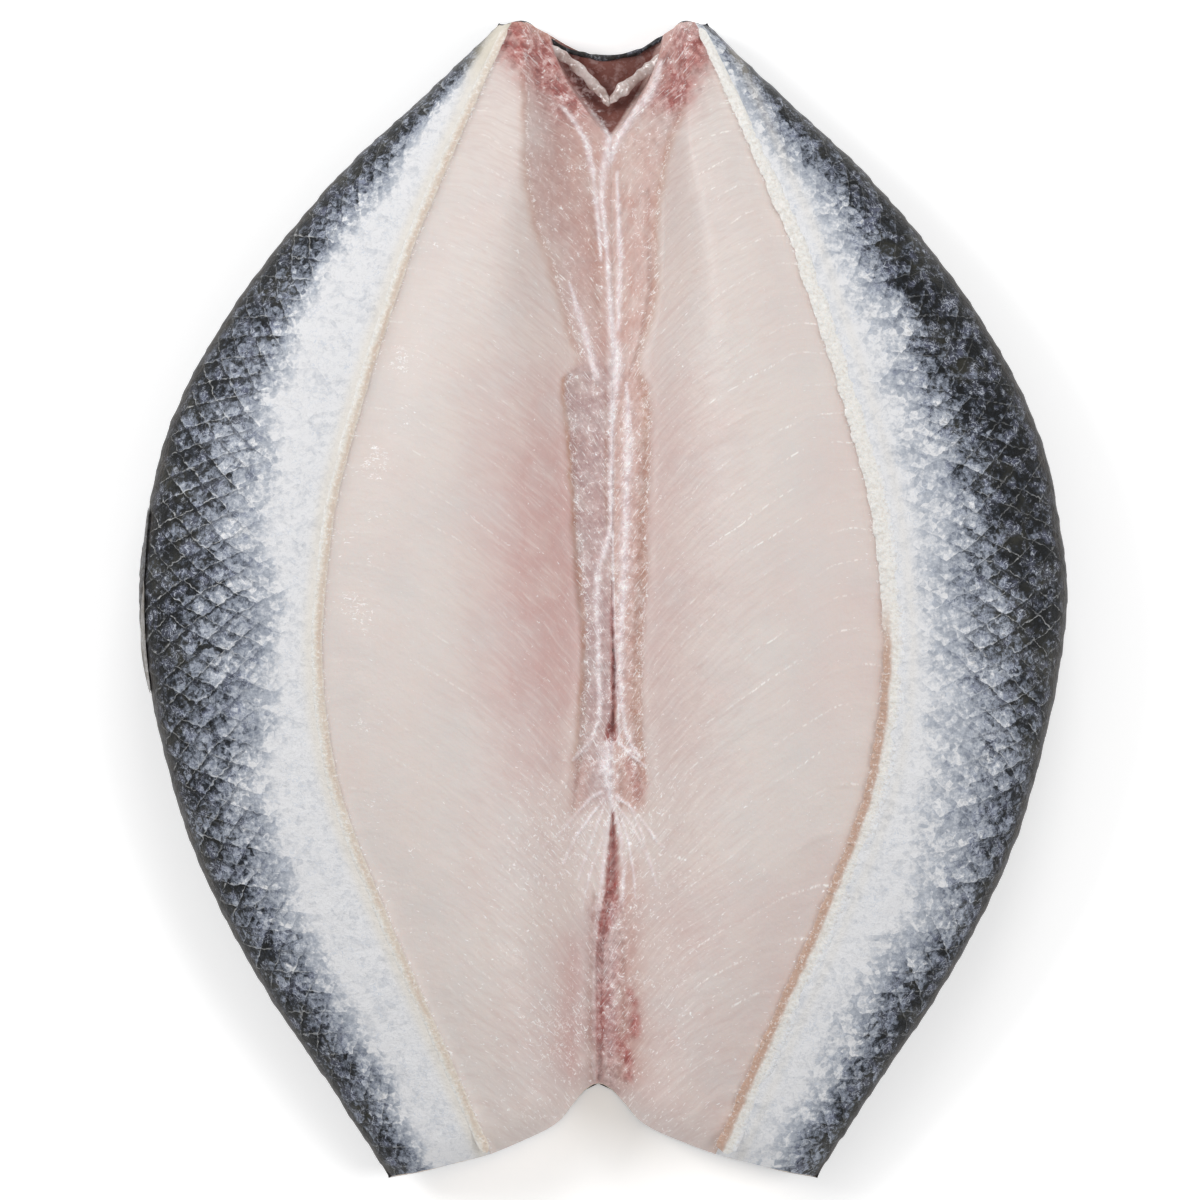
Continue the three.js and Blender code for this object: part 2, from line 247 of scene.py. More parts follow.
def length_setting(name, description, millimetres):
    return FloatProperty(
        name=name, description=description, default=millimetres * MM, min=0, precision=5,
        subtype="DISTANCE", unit="LENGTH",
    )


def colour_setting(name, description, hex_colour):
    return FloatVectorProperty(
        name=name, description=description, default=linear(hex_colour), min=0, max=1,
        subtype="COLOR",
    )


class MilkfishSizes(PropertyGroup):
    scale_length: length_setting("Scale length", "Visible length of a scale along the body", 4.4)
    scale_width: length_setting("Scale width", "Visible width of a scale round the body", 6.4)
    scale_lift: length_setting("Scale lift", "Step at the free edge of a scale", 0.16)
    skin_thickness: length_setting("Skin thickness", "Skin with its scales and fat", 0.9)
    muscle_block: length_setting("Muscle block", "Distance between two lines in the flesh", 5.8)
    line_relief: length_setting("Line relief", "Height of a line in the flesh", 0.07)


class MilkfishColours(PropertyGroup):
    flesh: colour_setting("Flesh", "Ivory of the thick outer flesh", "#D8CEC9")
    pink: colour_setting("Pink flesh", "Flesh with more blood, near the seam", "#C8A5A0")
    mauve: colour_setting("Mauve lining", "Lining of the belly hollow, left of the seam", "#AE9190")
    rose: colour_setting("Rose lining", "Lining of the belly hollow, right of the seam", "#C49F95")
    # Tan is partly turned fat and partly painted shade in the grooves along the rim and the trough.
    tan: colour_setting("Tan fat", "Fat that has turned along an edge", "#B58A72")
    # The crease colour is partly the brown of the tissue and partly painted shade in the creases.
    shaded_crease: colour_setting("Crease", "Creases of the lining and the seam", "#A2786B")
    blood: colour_setting("Blood", "Bloody tissue at the tips and in the slit", "#9C403A")
    milk: colour_setting("Fascia", "Milky strands of fascia", "#E2D5D8")
    pit: colour_setting("Pit", "Dark lining between the two tips", "#75443B")
    cut: colour_setting("Cut face", "Flesh at the tail and head ends", "#D5C2AC")
    fat: colour_setting("Fat", "White fat under the skin", "#E4E1DC")
    cream: colour_setting("Cream fat", "Fat where the skin was folded back", "#D9CBBA")
    belly: colour_setting("Belly skin", "White skin beside the flesh", "#E2E2E4")
    silver: colour_setting("Silver skin", "Where the white turns to blue", "#B0B5BE")
    flank: colour_setting("Flank skin", "Silver blue skin of the side", "#7E8592")
    shade: colour_setting("Shoulder skin", "Darker skin towards the back", "#272B33")
    back: colour_setting("Back skin", "Blue black skin of the back", "#0E1012")
    floor: colour_setting("Floor", "The surface it lies on", "#F7F7F7")


# --- curves, noise and other arithmetic on arrays ----------------------------------------------

def mix(a, b, share):
    return a + (b - a) * share


def smoothstep(value, low, high):
    t = np.clip((value - low) / (high - low), 0, 1)
    return t * t * (3 - 2 * t)


def bell(value, middle, width):
    """A soft mask round a value, 1 in the middle."""
    return np.exp(-((value - middle) / width) ** 2)


def along(stations, place):
    """A smooth curve through the stations: cubic pieces whose slopes come from the neighbours."""
    spots, values = np.array(stations, float).T
    rises = np.append(values[1:], values[-1]) - np.append(values[0], values[:-1])
    runs = np.append(spots[1:], spots[-1]) - np.append(spots[0], spots[:-1])
    slopes = rises / runs
    at = np.clip(place, spots[0], spots[-1])
    i = np.clip(np.searchsorted(spots, at, side="right") - 1, 0, len(spots) - 2)
    span = spots[i + 1] - spots[i]
    t = (at - spots[i]) / span
    rise = t * t * (3 - 2 * t)
    lean = slopes[i] * t * (1 - t) ** 2 - slopes[i + 1] * t * t * (1 - t)
    return values[i] * (1 - rise) + values[i + 1] * rise + span * lean


def noise(seed, grain, x, y):
    """Smooth noise from -1 to 1 with lumps of about one grain, the same in each run."""
    table = np.random.default_rng(seed).uniform(-1, 1, (NOISE_CELLS, NOISE_CELLS))
    u, v = np.asarray(x) / grain + NOISE_START, np.asarray(y) / grain + NOISE_START
    i, j = np.floor(u).astype(int), np.floor(v).astype(int)
    s, t = smoothstep(u - i, 0, 1), smoothstep(v - j, 0, 1)
    i, j, k, m = (number % NOISE_CELLS for number in (i, j, i + 1, j + 1))
    return mix(mix(table[i, j], table[k, j], s), mix(table[i, m], table[k, m], s), t)


def patch(x, y, centre, reach):
    """A soft round mask, 1 at its centre."""
    return bell(x, centre[0], reach[0]) * bell(y, centre[1], reach[1])


def outward_normals(points):
    """Unit normals of a grid of points whose columns run clockwise seen along +Y."""
    down_rows = np.gradient(points, axis=0)
    down_columns = np.gradient(points, axis=1)
    normals = np.cross(down_columns, down_rows)
    return normals / np.maximum(np.linalg.norm(normals, axis=2, keepdims=True), 1e-9)


# --- the solid's form --------------------------------------------------------------------------

def squeeze_at(y):
    """How much the relief of seam and rim narrows where the gap leaves little flesh."""
    room = along(FLESH_HALF_WIDTH, y) - along(GAP_HALF_WIDTH, y)
    return np.minimum(1, room / GAP_ROOM)


def flesh_distance(pit_share, zone_share, lobe_share, y):
    """Distance from the middle of a column in the flesh, fine in the gap and near the seam."""
    gap, half = along(GAP_HALF_WIDTH, y), along(FLESH_HALF_WIDTH, y)
    zone = np.minimum(SEAM_ZONE, (half - gap) / 2)
    return gap * pit_share + zone * zone_share + (half - gap - zone) * lobe_share


def place_along(distance_at, share, lean):
    """The place along Y of a share of the way from the tail end to the head end.

    The distance from the middle grows away from the tail, so that end is found in a few rounds.
    """
    tail, head = TAIL_END[-1][1], along(HEAD_END, distance_at(HEAD_END[-1][1]))
    for _ in range(4):
        tail = along(TAIL_END, distance_at(tail))
    return mix(tail + lean, head - lean, share)


def middle_shift(distance, y):
    """How far the seam's bend carries a point sideways."""
    return along(SEAM_OFFSET, y) * np.clip(1 - distance / along(FLESH_HALF_WIDTH, y), 0, 1)


def under_girths(count):
    """Girths from the outline to the middle of the back that stand closer towards the middle."""
    reach = (np.arange(count)[::-1] / count) ** 1.5
    return 1 + np.arccos(reach ** (UNDERSIDE_POWER / 2)) * 2 / np.pi


def rounded_end(height, y, share):
    spare = np.clip(height - along(WAIST_HEIGHT, y), 0, END_DROP)
    near_end = np.clip(1 - np.minimum(share, 1 - share) * LENGTH / END_ROUND, 0, 1)
    return height - spare * near_end ** 2


def base_flesh_height(x, y, distance):
    """The solid's own height of the flesh, with the crest, the trough and a slow swell."""
    gap, half = along(GAP_HALF_WIDTH, y), along(FLESH_HALF_WIDTH, y)
    squeeze = squeeze_at(y)
    out = np.maximum(distance - gap, 0)
    share = out / (half - gap)
    rim = along(RIM_HEIGHT, y)
    crest = rim + along(CREST_RISE, y)
    trough = np.minimum(along(TROUGH_HALF_WIDTH, y) / (half - gap), CREST_PLACE * 0.7)
    climb = np.clip((share - trough) / (CREST_PLACE - trough), 0, 1)
    drop = along(TROUGH_EDGE_DROP, y) * (1 - np.sin(climb * np.pi / 2))
    fall = (crest - rim) * smoothstep(share, CREST_PLACE, 1)
    hollow = along(TROUGH_DEPTH, y) * (1 - np.clip(share / trough, 0, 1) ** 2)
    step = RIM_STEP * (0.7 - 0.5 * smoothstep((half - distance) / squeeze, 0.5, 10))
    swell = 0.4 * np.sin(x / 11 + 1) * np.sin(y / 17 + 2)
    swell = swell + 0.25 * np.sin(x / 6.3 + 4) * np.sin(y / 9.7 + 1)
    return crest - drop - fall - hollow - step + swell * np.sin(np.pi * share)


def girth_point(side, girth, share):
    """A point of the skin, girth 0 at its rim, 1 at the outline and 2 at the middle of the back."""
    turn = np.clip(girth, 0, 1) * np.pi / 2
    under = np.clip(girth - 1, 0, 1) * np.pi / 2
    reach = np.maximum(np.cos(under), 0) ** (2 / UNDERSIDE_POWER)
    lift = 1 - np.sin(under) ** (2 / UNDERSIDE_POWER)

    def distance_at(y):
        half, wide = along(FLESH_HALF_WIDTH, y), along(HALF_WIDTH, y)
        return np.where(girth < 1, mix(half, wide, np.sin(turn)), wide * reach)

    column_share = RIM_COLUMN_SHARE + (1 - RIM_COLUMN_SHARE) * np.clip(girth, 0, 1)
    lean = END_LEAN * (1 - column_share ** 6) * (girth < 1)
    y = place_along(distance_at, share, lean)
    distance = distance_at(y)
    waist = along(WAIST_HEIGHT, y)
    upper = waist + (along(RIM_HEIGHT, y) - waist) * np.cos(turn)
    lower = mix(along(KEEL_LIFT, y), waist, lift) - REST_DEPTH * (1 - reach ** 6)
    height = np.where(girth < 1, rounded_end(upper, y, share), np.maximum(lower, 0))
    x = side * distance + middle_shift(distance, y)
    return np.stack([x, y, height], axis=-1), distance


# --- the flesh ---------------------------------------------------------------------------------

def line_rise(share, half):
    """How far a line in the flesh runs towards the head on its way from the seam to the rim."""
    climb = 0.45 * share + 0.42 * (1 - np.exp(-share / 0.3))
    return half * (climb - 0.9 * np.clip(share - 0.8, 0, 1) ** 1.5)


def off_segment(x, y, start, end):
    """Distance from a straight line from start to end, and the share of the way along it."""
    dx, dy = end[0] - start[0], end[1] - start[1]
    t = np.clip(((x - start[0]) * dx + (y - start[1]) * dy) / (dx * dx + dy * dy), 0, 1)
    return np.hypot(x - start[0] - t * dx, y - start[1] - t * dy), t


def near_segment(x, y, start, end, width):
    """A soft mask round a straight line from start to end."""
    return bell(off_segment(x, y, start, end)[0], 0, width)


def between(y, low, high, soft=2.0):
    """A mask of the stretch from low to high along the fish."""
    return smoothstep(y, low - soft, low + soft) * smoothstep(y, high + soft, high - soft)


def path_cover(x, y, paths, unevenness):
    """How much of the paths shows at each place, and their half width there."""
    cover, widest = np.zeros(x.shape), np.zeros(x.shape)
    near = np.abs(x) < STRAND_ZONE
    here_x, here_y = x[near], y[near]
    uneven = 1 + unevenness * noise(61, 1.3, here_x, here_y / 1.5)
    best, wide = np.zeros(here_x.shape), np.zeros(here_x.shape)
    for stations in paths:
        for start, end in zip(stations, stations[1:]):
            off, t = off_segment(here_x, here_y, start, end)
            half_width = mix(start[2], end[2], t) / 2 * uneven
            body = bell(off / half_width, 0, 0.9)
            wide = np.where(body > best, half_width, wide)
            best = np.maximum(best, body)
    cover[near], widest[near] = best, wide
    return cover, widest


# Tones and wet round straight lines in the flesh, as (mask, amount, start, end, width).
TONE_LINES = (
    ("rose", 0.75, (3.4, -44), (4.6, -77), 2.6), ("mauve", 0.95, (0.6, -52), (0.6, -79), 3.2),
    ("blood", 0.35, (4.6, -26.5), (5.6, -32), 1.0), ("wet", 0.65, (0.8, -50), (0.8, -79), 4),
    ("tan", 0.85, (-13.6, 94.2), (-8.5, 92.4), 1.9),
)
# Places that glint, as (amount, centre, reach).
GLINT_PATCHES = (
    (0.25, (6, -31), (8, 10)), (0.35, (-6, -70), (4, 7)), (0.2, (4, -56), (3, 14)),
    (0.25, (-9, -38), (8, 9)),
)


def flesh_fields(x, y, distance, side, block):
    """Masks and coordinates of what shows on one lobe of the flesh, each the same shape as x."""
    left = side < 0
    gap, half = along(GAP_HALF_WIDTH, y), along(FLESH_HALF_WIDTH, y)
    out = np.maximum(distance - gap, 0)
    share = out / (half - gap)
    from_rim = (half - distance) / squeeze_at(y)
    ragged = 0.25 * noise(11, 2.2, x, y) + 0.15 * noise(12, 0.8, x, y)
    to_edge = out + ragged - along(LINING_REACH[side], y) + gap
    lining = (1 - smoothstep(to_edge, -0.5, 0.4)) * smoothstep(y, -36, -30)
    ledge = LEDGE[side] + 1.2 * noise(10, 3, x, y)
    soft_ledge = 0.5 if left else 2.5
    trough = smoothstep(y, -31, -25) * smoothstep(y, ledge + soft_ledge, ledge - soft_ledge)
    head_part = smoothstep(y, LEDGE[side], LEDGE[side] + 4)
    phase = (y - line_rise(share, half)) / block + 0.16 * noise(13, 14, x, y)
    phase += 0.05 * noise(36, 4, x, y) + 0.02 * noise(37, 1.6, x, y)
    strands, strand_width = path_cover(x, y, STRANDS, 0.3)
    broken = 0.75 + 0.45 * noise(62, 1.6, x, y / 2) + 0.35 * noise(63, 0.7, x, y / 2)
    strands *= mix(1, np.clip(broken, 0.15, 1), smoothstep(-y, 28, 36))
    strands *= mix(1, 0.25, smoothstep(-y, 48, 54))
    # The creases are sunk into the height and painted brown, partly as painted shade.
    creases, _ = path_cover(x, y, CREASES, 0.2)
    creases *= (1 - strands) * (0.75 + 0.35 * noise(66, 1.8, x, y / 3))
    creases *= 1 - 0.5 * smoothstep(y, 50, 66)

    from_slit = np.abs(x - along(SLIT_X, y)) / along(SLIT_HALF_WIDTH, y)
    slit = 1 - smoothstep(from_slit + 0.3 * noise(64, 0.8, x, y), 0.35, 1.6)
    slit *= along(SLIT_BLOOD, y) * (0.9 + 0.3 * noise(65, 0.7, x, y))
    tips, stains = (
        np.maximum(near_segment(x, y, *one), near_segment(x, y, *other)) for one, other in (
            (((-14.0, 91.5), (-4.8, 82.8), 3.9), ((15.2, 92), (11.4, 82.5), 3.5)),
            (((4.6, -64), (5.2, -71), 1.0), ((3.4, -72), (4.2, -78), 1.0)))
    )
    tips = np.clip(tips * (1.15 + 0.45 * noise(16, 2.4, x, y) + 0.3 * noise(17, 1, x, y)), 0, 1)
    seam_tone = 0.5 + 0.35 * noise(67, 1.2, x, y / 3)
    blood = tips + slit + 0.65 * stains * (1 + noise(18, 1.4, x, y))
    blood += seam_tone * near_segment(x, y, (0.6, -50), (0.8, -79), 2.2)

    pink = (0.9 if left else 0.5) * (1 - smoothstep(distance, 6, 29 if left else 26))
    pink *= 0.25 + 0.75 * between(y, -26, 34, 14)
    pink += 0.1 * noise(14, 7, x, y) + 0.2 * patch(x, y, (40, -2), (11, 34))
    if left:
        pink += 0.3 * patch(x, y, (-13, 0), (6, 22))
        pink += 0.55 * near_segment(x, y, (-4.5, -58), (-5.5, -76), 3)
    else:
        pink += 0.22 * smoothstep(-y, 32, 58)
    cloudy = lining * (0.85 + 0.25 * noise(15, 1.2, x, y / 2))
    deeper = 0.6 + 1.2 * smoothstep(-to_edge, 0.5, 9.5)
    mauve = cloudy * left * mix(1, 0.7 * deeper, head_part)
    rose = cloudy * (0.55 * head_part if left else 1) * mix(1, deeper, head_part * left)
    low = smoothstep(-y, 24, 28) * (1 - smoothstep(-y, 33, 37))
    rose += 0.8 * low * near_segment(x, y, (4.0, -26.5), (5.6, -34), 2.0)
    rose += 0.7 * low * near_segment(x, y, (-3.0, -27), (-4.4, -34), 1.6)

    # Tan along the lining's edge and the rim is partly painted shade in the groove at the step.
    tan = 0.75 * trough * (bell(to_edge, 0, 0.42) if left else bell(to_edge, -0.8, 0.8))
    tan += bell(to_edge, -0.1, 0.8) * head_part * (0.35 if left else 0.45)
    rim_groove_shade = 0.45 if left else np.where(y > 0, 0.35, 0.7)
    tan += 0.7 * rim_groove_shade * bell(from_rim, 0, 0.7 if left else 1.3)
    tan += 0.5 * patch(x, y, (15.4, 93.5), (1.6, 1.6))
    pit = smoothstep(y, 73.4, 77) * (1 - smoothstep(distance - gap, -0.5, 0.2))

    # The glint mask places painted highlights, white strokes and specks in the flesh colour.
    glint = 0.1 + 0.3 * lining * trough + 0.24 * (1 - smoothstep(out, 8, 24))
    glint += 0.2 * smoothstep(-y, 20, 50) + 0.22 * lining * head_part + 0.1 * tips + 0.3 * strands
    puddle_glints = smoothstep(noise(19, 3.4, x / 1.8, y), 0.15, 0.6) * between(y, -45, 60, 10) * left
    glint += 0.75 * puddle_glints * bell(half - distance, 5, 3.4)
    for amount, centre, reach in GLINT_PATCHES:
        glint += amount * patch(x, y, centre, reach)
    edge_glints = bell(to_edge, -0.75 if left else -0.1, 0.35)
    glint += 0.9 * edge_glints * np.maximum(trough, 0.6 * head_part) + 0.7 * bell(from_rim, 0.5, 0.4)
    glint *= 1 - 0.95 * pit
    wet = lining * (0.55 * (1 - head_part) + 0.25 * head_part) + 0.4 * tips
    fields = {
        "pink": pink, "mauve": mauve, "rose": rose, "tan": tan, "shaded_crease": 0.8 * creases,
        "blood": blood, "milk": 0.85 * strands, "pit": pit, "glint": glint, "tips": tips, "wet": wet,
    }
    for key, amount, *line in TONE_LINES:
        fields[key] += amount * near_segment(x, y, *line)
    fields = {key: np.clip(value, 0, 1) for key, value in fields.items()}
    fields.update(
        out=out, share=share, phase=phase, to_edge=to_edge, lining=lining, trough=trough,
        strand_width=strand_width, from_rim=from_rim, from_slit=from_slit,
    )
    return fields


def flesh_height(x, y, distance, side, sizes):
    """Height of the flesh with its lines, lining, slit and bumps, and the masks that go with it."""
    block = sizes.muscle_block / MM
    fields = flesh_fields(x, y, distance, side, block)
    share, out, lining, trough, milk = (
        fields[k] for k in ("share", "out", "lining", "trough", "milk"))
    squeeze = squeeze_at(y)
    height = base_flesh_height(x, y, distance)
    height += (0.65 if side < 0 else 0.5) * RIM_STEP * bell(fields["from_rim"], 0, 1)
    from_line = np.abs(fields["phase"] - np.round(fields["phase"])) * block
    line = bell(from_line, 0, 0.5) * smoothstep(share, 0.25, 0.45)
    line *= smoothstep(noise(21, 5, x, y), -0.5, 0.6) * (1.0 if side > 0 else 0.5)
    height += sizes.line_relief / MM * line
    height += (1 - lining) * (
        0.04 * noise(22, 2.4, fields["phase"] * block, share * 15)
        + 0.04 * noise(34, 3.5, x, y) + 0.02 * noise(35, 1.2, x, y))
    lip = bell(fields["to_edge"], 0.7, 0.7)
    height += 0.12 * lip * smoothstep(y, -36, -28) - 0.22 * lining * trough
    height += lining * (0.1 * noise(24, 1.2, x, y / 2) + 0.08 * noise(25, 0.6, x, y / 1.5))
    height += fields["tips"] * (0.55 * noise(27, 2.0, x, y) + 0.35 * noise(28, 0.9, x, y))
    lower_lips = bell(np.abs(x - along(SLIT_X, y)), 1.5, 0.9)
    height += 0.25 * lower_lips * smoothstep(-y, 36, 44) * (1 + 0.6 * noise(29, 3, x, y))
    beads = 1 + 0.35 * noise(31, 0.9, x, y) + 0.25 * noise(32, 2.6, x, y)
    height += milk * beads * (0.1 + 0.26 * fields["strand_width"]) * squeeze
    cut = (1 - smoothstep(fields["from_slit"], 0.3, 1.15)) * (1 - smoothstep(y, 72, 76))
    height -= 0.22 * fields["shaded_crease"] + along(SLIT_DEPTH, y) * cut
    pit_floor = along(GAP_FLOOR_HEIGHT, y) + 0.35 * noise(30, 2.5, x, y) + 0.2 * noise(33, 1, x, y)
    in_pit = (1 - smoothstep(out / squeeze, 0.15, 1.0)) * smoothstep(y, GAP_START, GAP_OPEN)
    return mix(height, pit_floor, in_pit), fields


def flesh_top(side, sizes, rows):
    """The upper side of one lobe as a grid of points from the seam to the rim, with its masks."""
    pit = np.linspace(0, 1, PIT_COLUMNS + 1)
    zone = np.linspace(0, 1, SEAM_ZONE_COLUMNS + 1)[1:]
    lobe = np.linspace(0, 1, LOBE_COLUMNS + 1)[1:]
    columns = np.stack([
        np.concatenate([pit, np.ones(len(zone) + len(lobe))]),
        np.concatenate([np.zeros(len(pit)), zone, np.ones(len(lobe))]),
        np.concatenate([np.zeros(len(pit) + len(zone)), lobe]),
    ])
    tail_distance = flesh_distance(*columns, TAIL_END[-1][1])
    column_share = RIM_COLUMN_SHARE * tail_distance / tail_distance[-1]
    share = rows[:, None]
    lean = END_LEAN * (1 - column_share ** 6)
    y = place_along(lambda at: flesh_distance(*columns, at), share, lean)
    distance = flesh_distance(*columns, y)
    x = side * distance + middle_shift(distance, y)
    height, fields = flesh_height(x, y, distance, side, sizes)
    return np.stack([x, y, rounded_end(height, y, share)], axis=-1), fields


def inner_skin(side, girth, rows, depth):
    """Points a depth inside the skin, for columns of rising girth."""
    points, _ = girth_point(side, girth[None, :], rows[:, None])
    return points - side * depth * outward_normals(points)


def end_stations(row, upper_count):
    """Where a cut end's loop is drawn together: its own middle line, and points along that."""
    inward = np.abs(row[:, 0] - row[0, 0])
    upper, lower = slice(0, upper_count), slice(upper_count - 1, 1 - WALL_COLUMNS)
    reach_up = np.maximum.accumulate(inward[upper])
    reach_down = inward[lower][::-1]
    ladder = np.array([
        np.interp(inward, reach_up, row[upper, k]) / 2
        + np.interp(inward, reach_down, row[lower, k][::-1]) / 2 for k in (1, 2)
    ]).T
    target = np.column_stack([row[:, 0], ladder])
    nearest = np.abs(inward[:, None] - inward[None, lower]).argmin(axis=1)
    return target, target[lower][nearest]


def close_ends(points, upper_count):
    """Adds rings of columns that draw each end together onto its middle line, so that it shuts."""
    rings = []
    for end in (0, -1):
        loop = points[end]
        target, shut = end_stations(loop, upper_count)
        rings.append([*(mix(loop, target, k / CAP_RINGS) for k in range(1, CAP_RINGS)), shut])
    return np.concatenate([np.array(rings[0][::-1]), points, np.array(rings[1])])


FLESH_MASKS = ("blood", "glint", "milk", "lining", "lined", "wet")
TINT_LAYERS = ("pink", "mauve", "rose", "tan", "shaded_crease", "blood", "milk", "pit")


def flesh_shell(side, sizes, colours):
    """One closed lobe of flesh, its upper side in full and the rest as far as it shows."""
    rows = np.linspace(0, 1, FLESH_ROWS + 1)
    top, fields = flesh_top(side, sizes, rows)
    shoulder = np.linspace(0, 1, HIDDEN_SIDE_COLUMNS + 1)[1:]
    girth = np.append(shoulder, under_girths(HIDDEN_UNDER_COLUMNS))
    hidden = inner_skin(side, girth, rows, sizes.skin_thickness / MM)
    climb = np.linspace(0, 1, WALL_COLUMNS + 1)[1:-1, None]
    wall = mix(hidden[:, -1:], top[:, :1], climb)
    wall[..., 0] = top[:, :1, 0]
    hidden[:, -1, 0] = top[:, 0, 0]
    loop = np.concatenate([top, hidden, wall], axis=1)
    shell = close_ends(loop, top.shape[1] + len(shoulder))
    upper_side = (slice(CAP_RINGS, -CAP_RINGS), slice(0, top.shape[1]))
    tint = np.ones((*shell.shape[:2], 4))
    tint[..., :3] = colours.flesh
    tint[:CAP_RINGS, :, :3] = tint[-CAP_RINGS:, :, :3] = colours.cut
    in_gap = np.abs(shell[-CAP_RINGS:, :, 0]) < GAP_HALF_WIDTH[-1][1]
    tint[-CAP_RINGS:, :, :3] = np.where(in_gap[..., None], np.array(colours.pit), colours.tan)
    seen = np.ones((*top.shape[:2], 3)) * np.array(colours.flesh)
    for key in TINT_LAYERS:
        seen = mix(seen, np.array(getattr(colours, key)), fields[key][..., None])
    tint[(*upper_side, slice(0, 3))] = seen
    masks = {"tint": tint}
    fields["lined"] = (1.0 if side > 0 else 0.45) * (1 - fields["pit"])
    for name in FLESH_MASKS:
        masks[name] = np.zeros(shell.shape[:2])
        masks[name][upper_side] = fields[name]
    pattern = shell[..., [1, 0]].copy()
    pattern[upper_side] = np.stack(
        [fields["phase"] * sizes.muscle_block / MM, fields["out"]], axis=-1)
    return shell, masks, pattern


# --- the skin ----------------------------------------------------------------------------------

# Where the skin has grown silver, blue and dark on each side: shares of the way across from the
# rim to the outline, by place along Y.
TONE_PLACES = {
    -1: (
        ((-79, 0.58), (-66, 0.56), (-49, 0.54), (-33, 0.45), (-16, 0.37), (0, 0.33), (16, 0.41),
         (33, 0.50), (49, 0.59), (65, 0.50), (79, 0.55), (92, 0.5)),
        ((-79, 0.74), (-66, 0.73), (-49, 0.72), (-33, 0.65), (-16, 0.60), (0, 0.57), (16, 0.63),
         (33, 0.67), (49, 0.67), (65, 0.63), (79, 0.65), (92, 0.6)),
        ((-79, 0.85), (-66, 0.84), (-49, 0.83), (-33, 0.85), (-16, 0.83), (0, 0.79), (16, 0.80),
         (33, 0.85), (49, 0.86), (65, 0.80), (79, 0.76), (92, 0.7)),
    ),
    1: (
        ((-79, 0.57), (-66, 0.57), (-49, 0.64), (-33, 0.50), (-16, 0.44), (0, 0.38), (16, 0.41),
         (33, 0.40), (49, 0.42), (65, 0.40), (79, 0.30), (92, 0.3)),
        ((-79, 0.71), (-66, 0.76), (-49, 0.83), (-33, 0.78), (-16, 0.69), (0, 0.54), (16, 0.55),
         (33, 0.51), (49, 0.56), (65, 0.58), (79, 0.64), (92, 0.6)),
        ((-79, 0.87), (-66, 0.88), (-49, 0.90), (-33, 0.88), (-16, 0.84), (0, 0.71), (16, 0.69),
         (33, 0.66), (49, 0.60), (65, 0.72), (79, 0.77), (92, 0.7)),
    ),
}
# How plainly the scale borders show on each side, by place along Y. A border is drawn as a
# painted shadow in its pocket and a painted highlight on its free edge.
BORDERS = {
    -1: ((-95, 0.55), (-40, 0.8), (0, 1), (35, 0.9), (60, 0.7), (95, 0.5)),
    1: ((-95, 0.35), (-30, 0.6), (0, 0.85), (30, 0.5), (60, 0.3), (95, 0.3)),
}
DARK_WIDTH, PALE_WIDTH = 0.12, {-1: 0.12, 1: 0.24}
SKIN_MASKS = ("tone", "borders", "warm", "turned", "olive", "inside")


def skin_tone(width_share, y, side):
    """How dark the skin is: 0 white, 0.2 silver, 0.5 blue, 0.8 dark and 1 the back."""
    silver, blue, dark = (along(places, y) for places in TONE_PLACES[side])
    tone = 0.2 * np.clip((width_share - silver) / PALE_WIDTH[side] + 1, 0, 1)
    for rise, start, width in (
        (0.3, silver, blue - silver), (0.3, blue, dark - blue), (0.2, dark, DARK_WIDTH),
    ):
        tone += rise * np.clip((width_share - start) / width, 0, 1)
    return tone


def outline_length(y):
    """Length along the outline up to a place along Y."""
    places = np.arange(-140, 140, 0.5)
    slope = np.gradient(along(HALF_WIDTH, places), places)
    return np.interp(y, places, np.cumsum(np.hypot(1, slope)) * 0.5)


def scale_cells(points, distance, outline_column, sizes):
    """Coordinates that count scales along their two slanting rows."""
    steps = np.linalg.norm(np.diff(points, axis=1), axis=2)
    girth_length = np.concatenate([np.zeros((len(points), 1)), np.cumsum(steps, axis=1)], axis=1)
    girth_length = girth_length - girth_length[:, outline_column:outline_column + 1]
    y = points[..., 1]
    wide = along(HALF_WIDTH, y)
    slope = along(HALF_WIDTH, y + 0.5) - along(HALF_WIDTH, y - 0.5)
    foot = y - slope / wide * (wide ** 2 - distance ** 2) / 2
    lengthwise = outline_length(foot) + 0.5 * noise(41, 13, points[..., 0], y)
    round_body = girth_length * np.cos(np.arctan(slope)) + 0.5 * noise(42, 11, y, girth_length)
    u, v = lengthwise / (sizes.scale_length / MM), round_body / (sizes.scale_width / MM)
    return u + v, u - v


def scale_relief(a, b):
    """Depth of the overlapping scales, from 0 at a scale's free tip to 1 under the next one."""
    fa, fb = a - np.floor(a), b - np.floor(b)
    tuck = fa * (1 - smoothstep(fa, 0.86, 1)) + fb * (1 - smoothstep(fb, 0.86, 1))
    table = np.random.default_rng(43).uniform(-1, 1, (2, 64, 64))
    i, j = np.floor(a).astype(int) % 64, np.floor(b).astype(int) % 64
    tilt = table[0, i, j] * (fa - 0.5) + table[1, i, j] * (fb - 0.5)
    return 0.5 * tuck + 0.3 * tilt


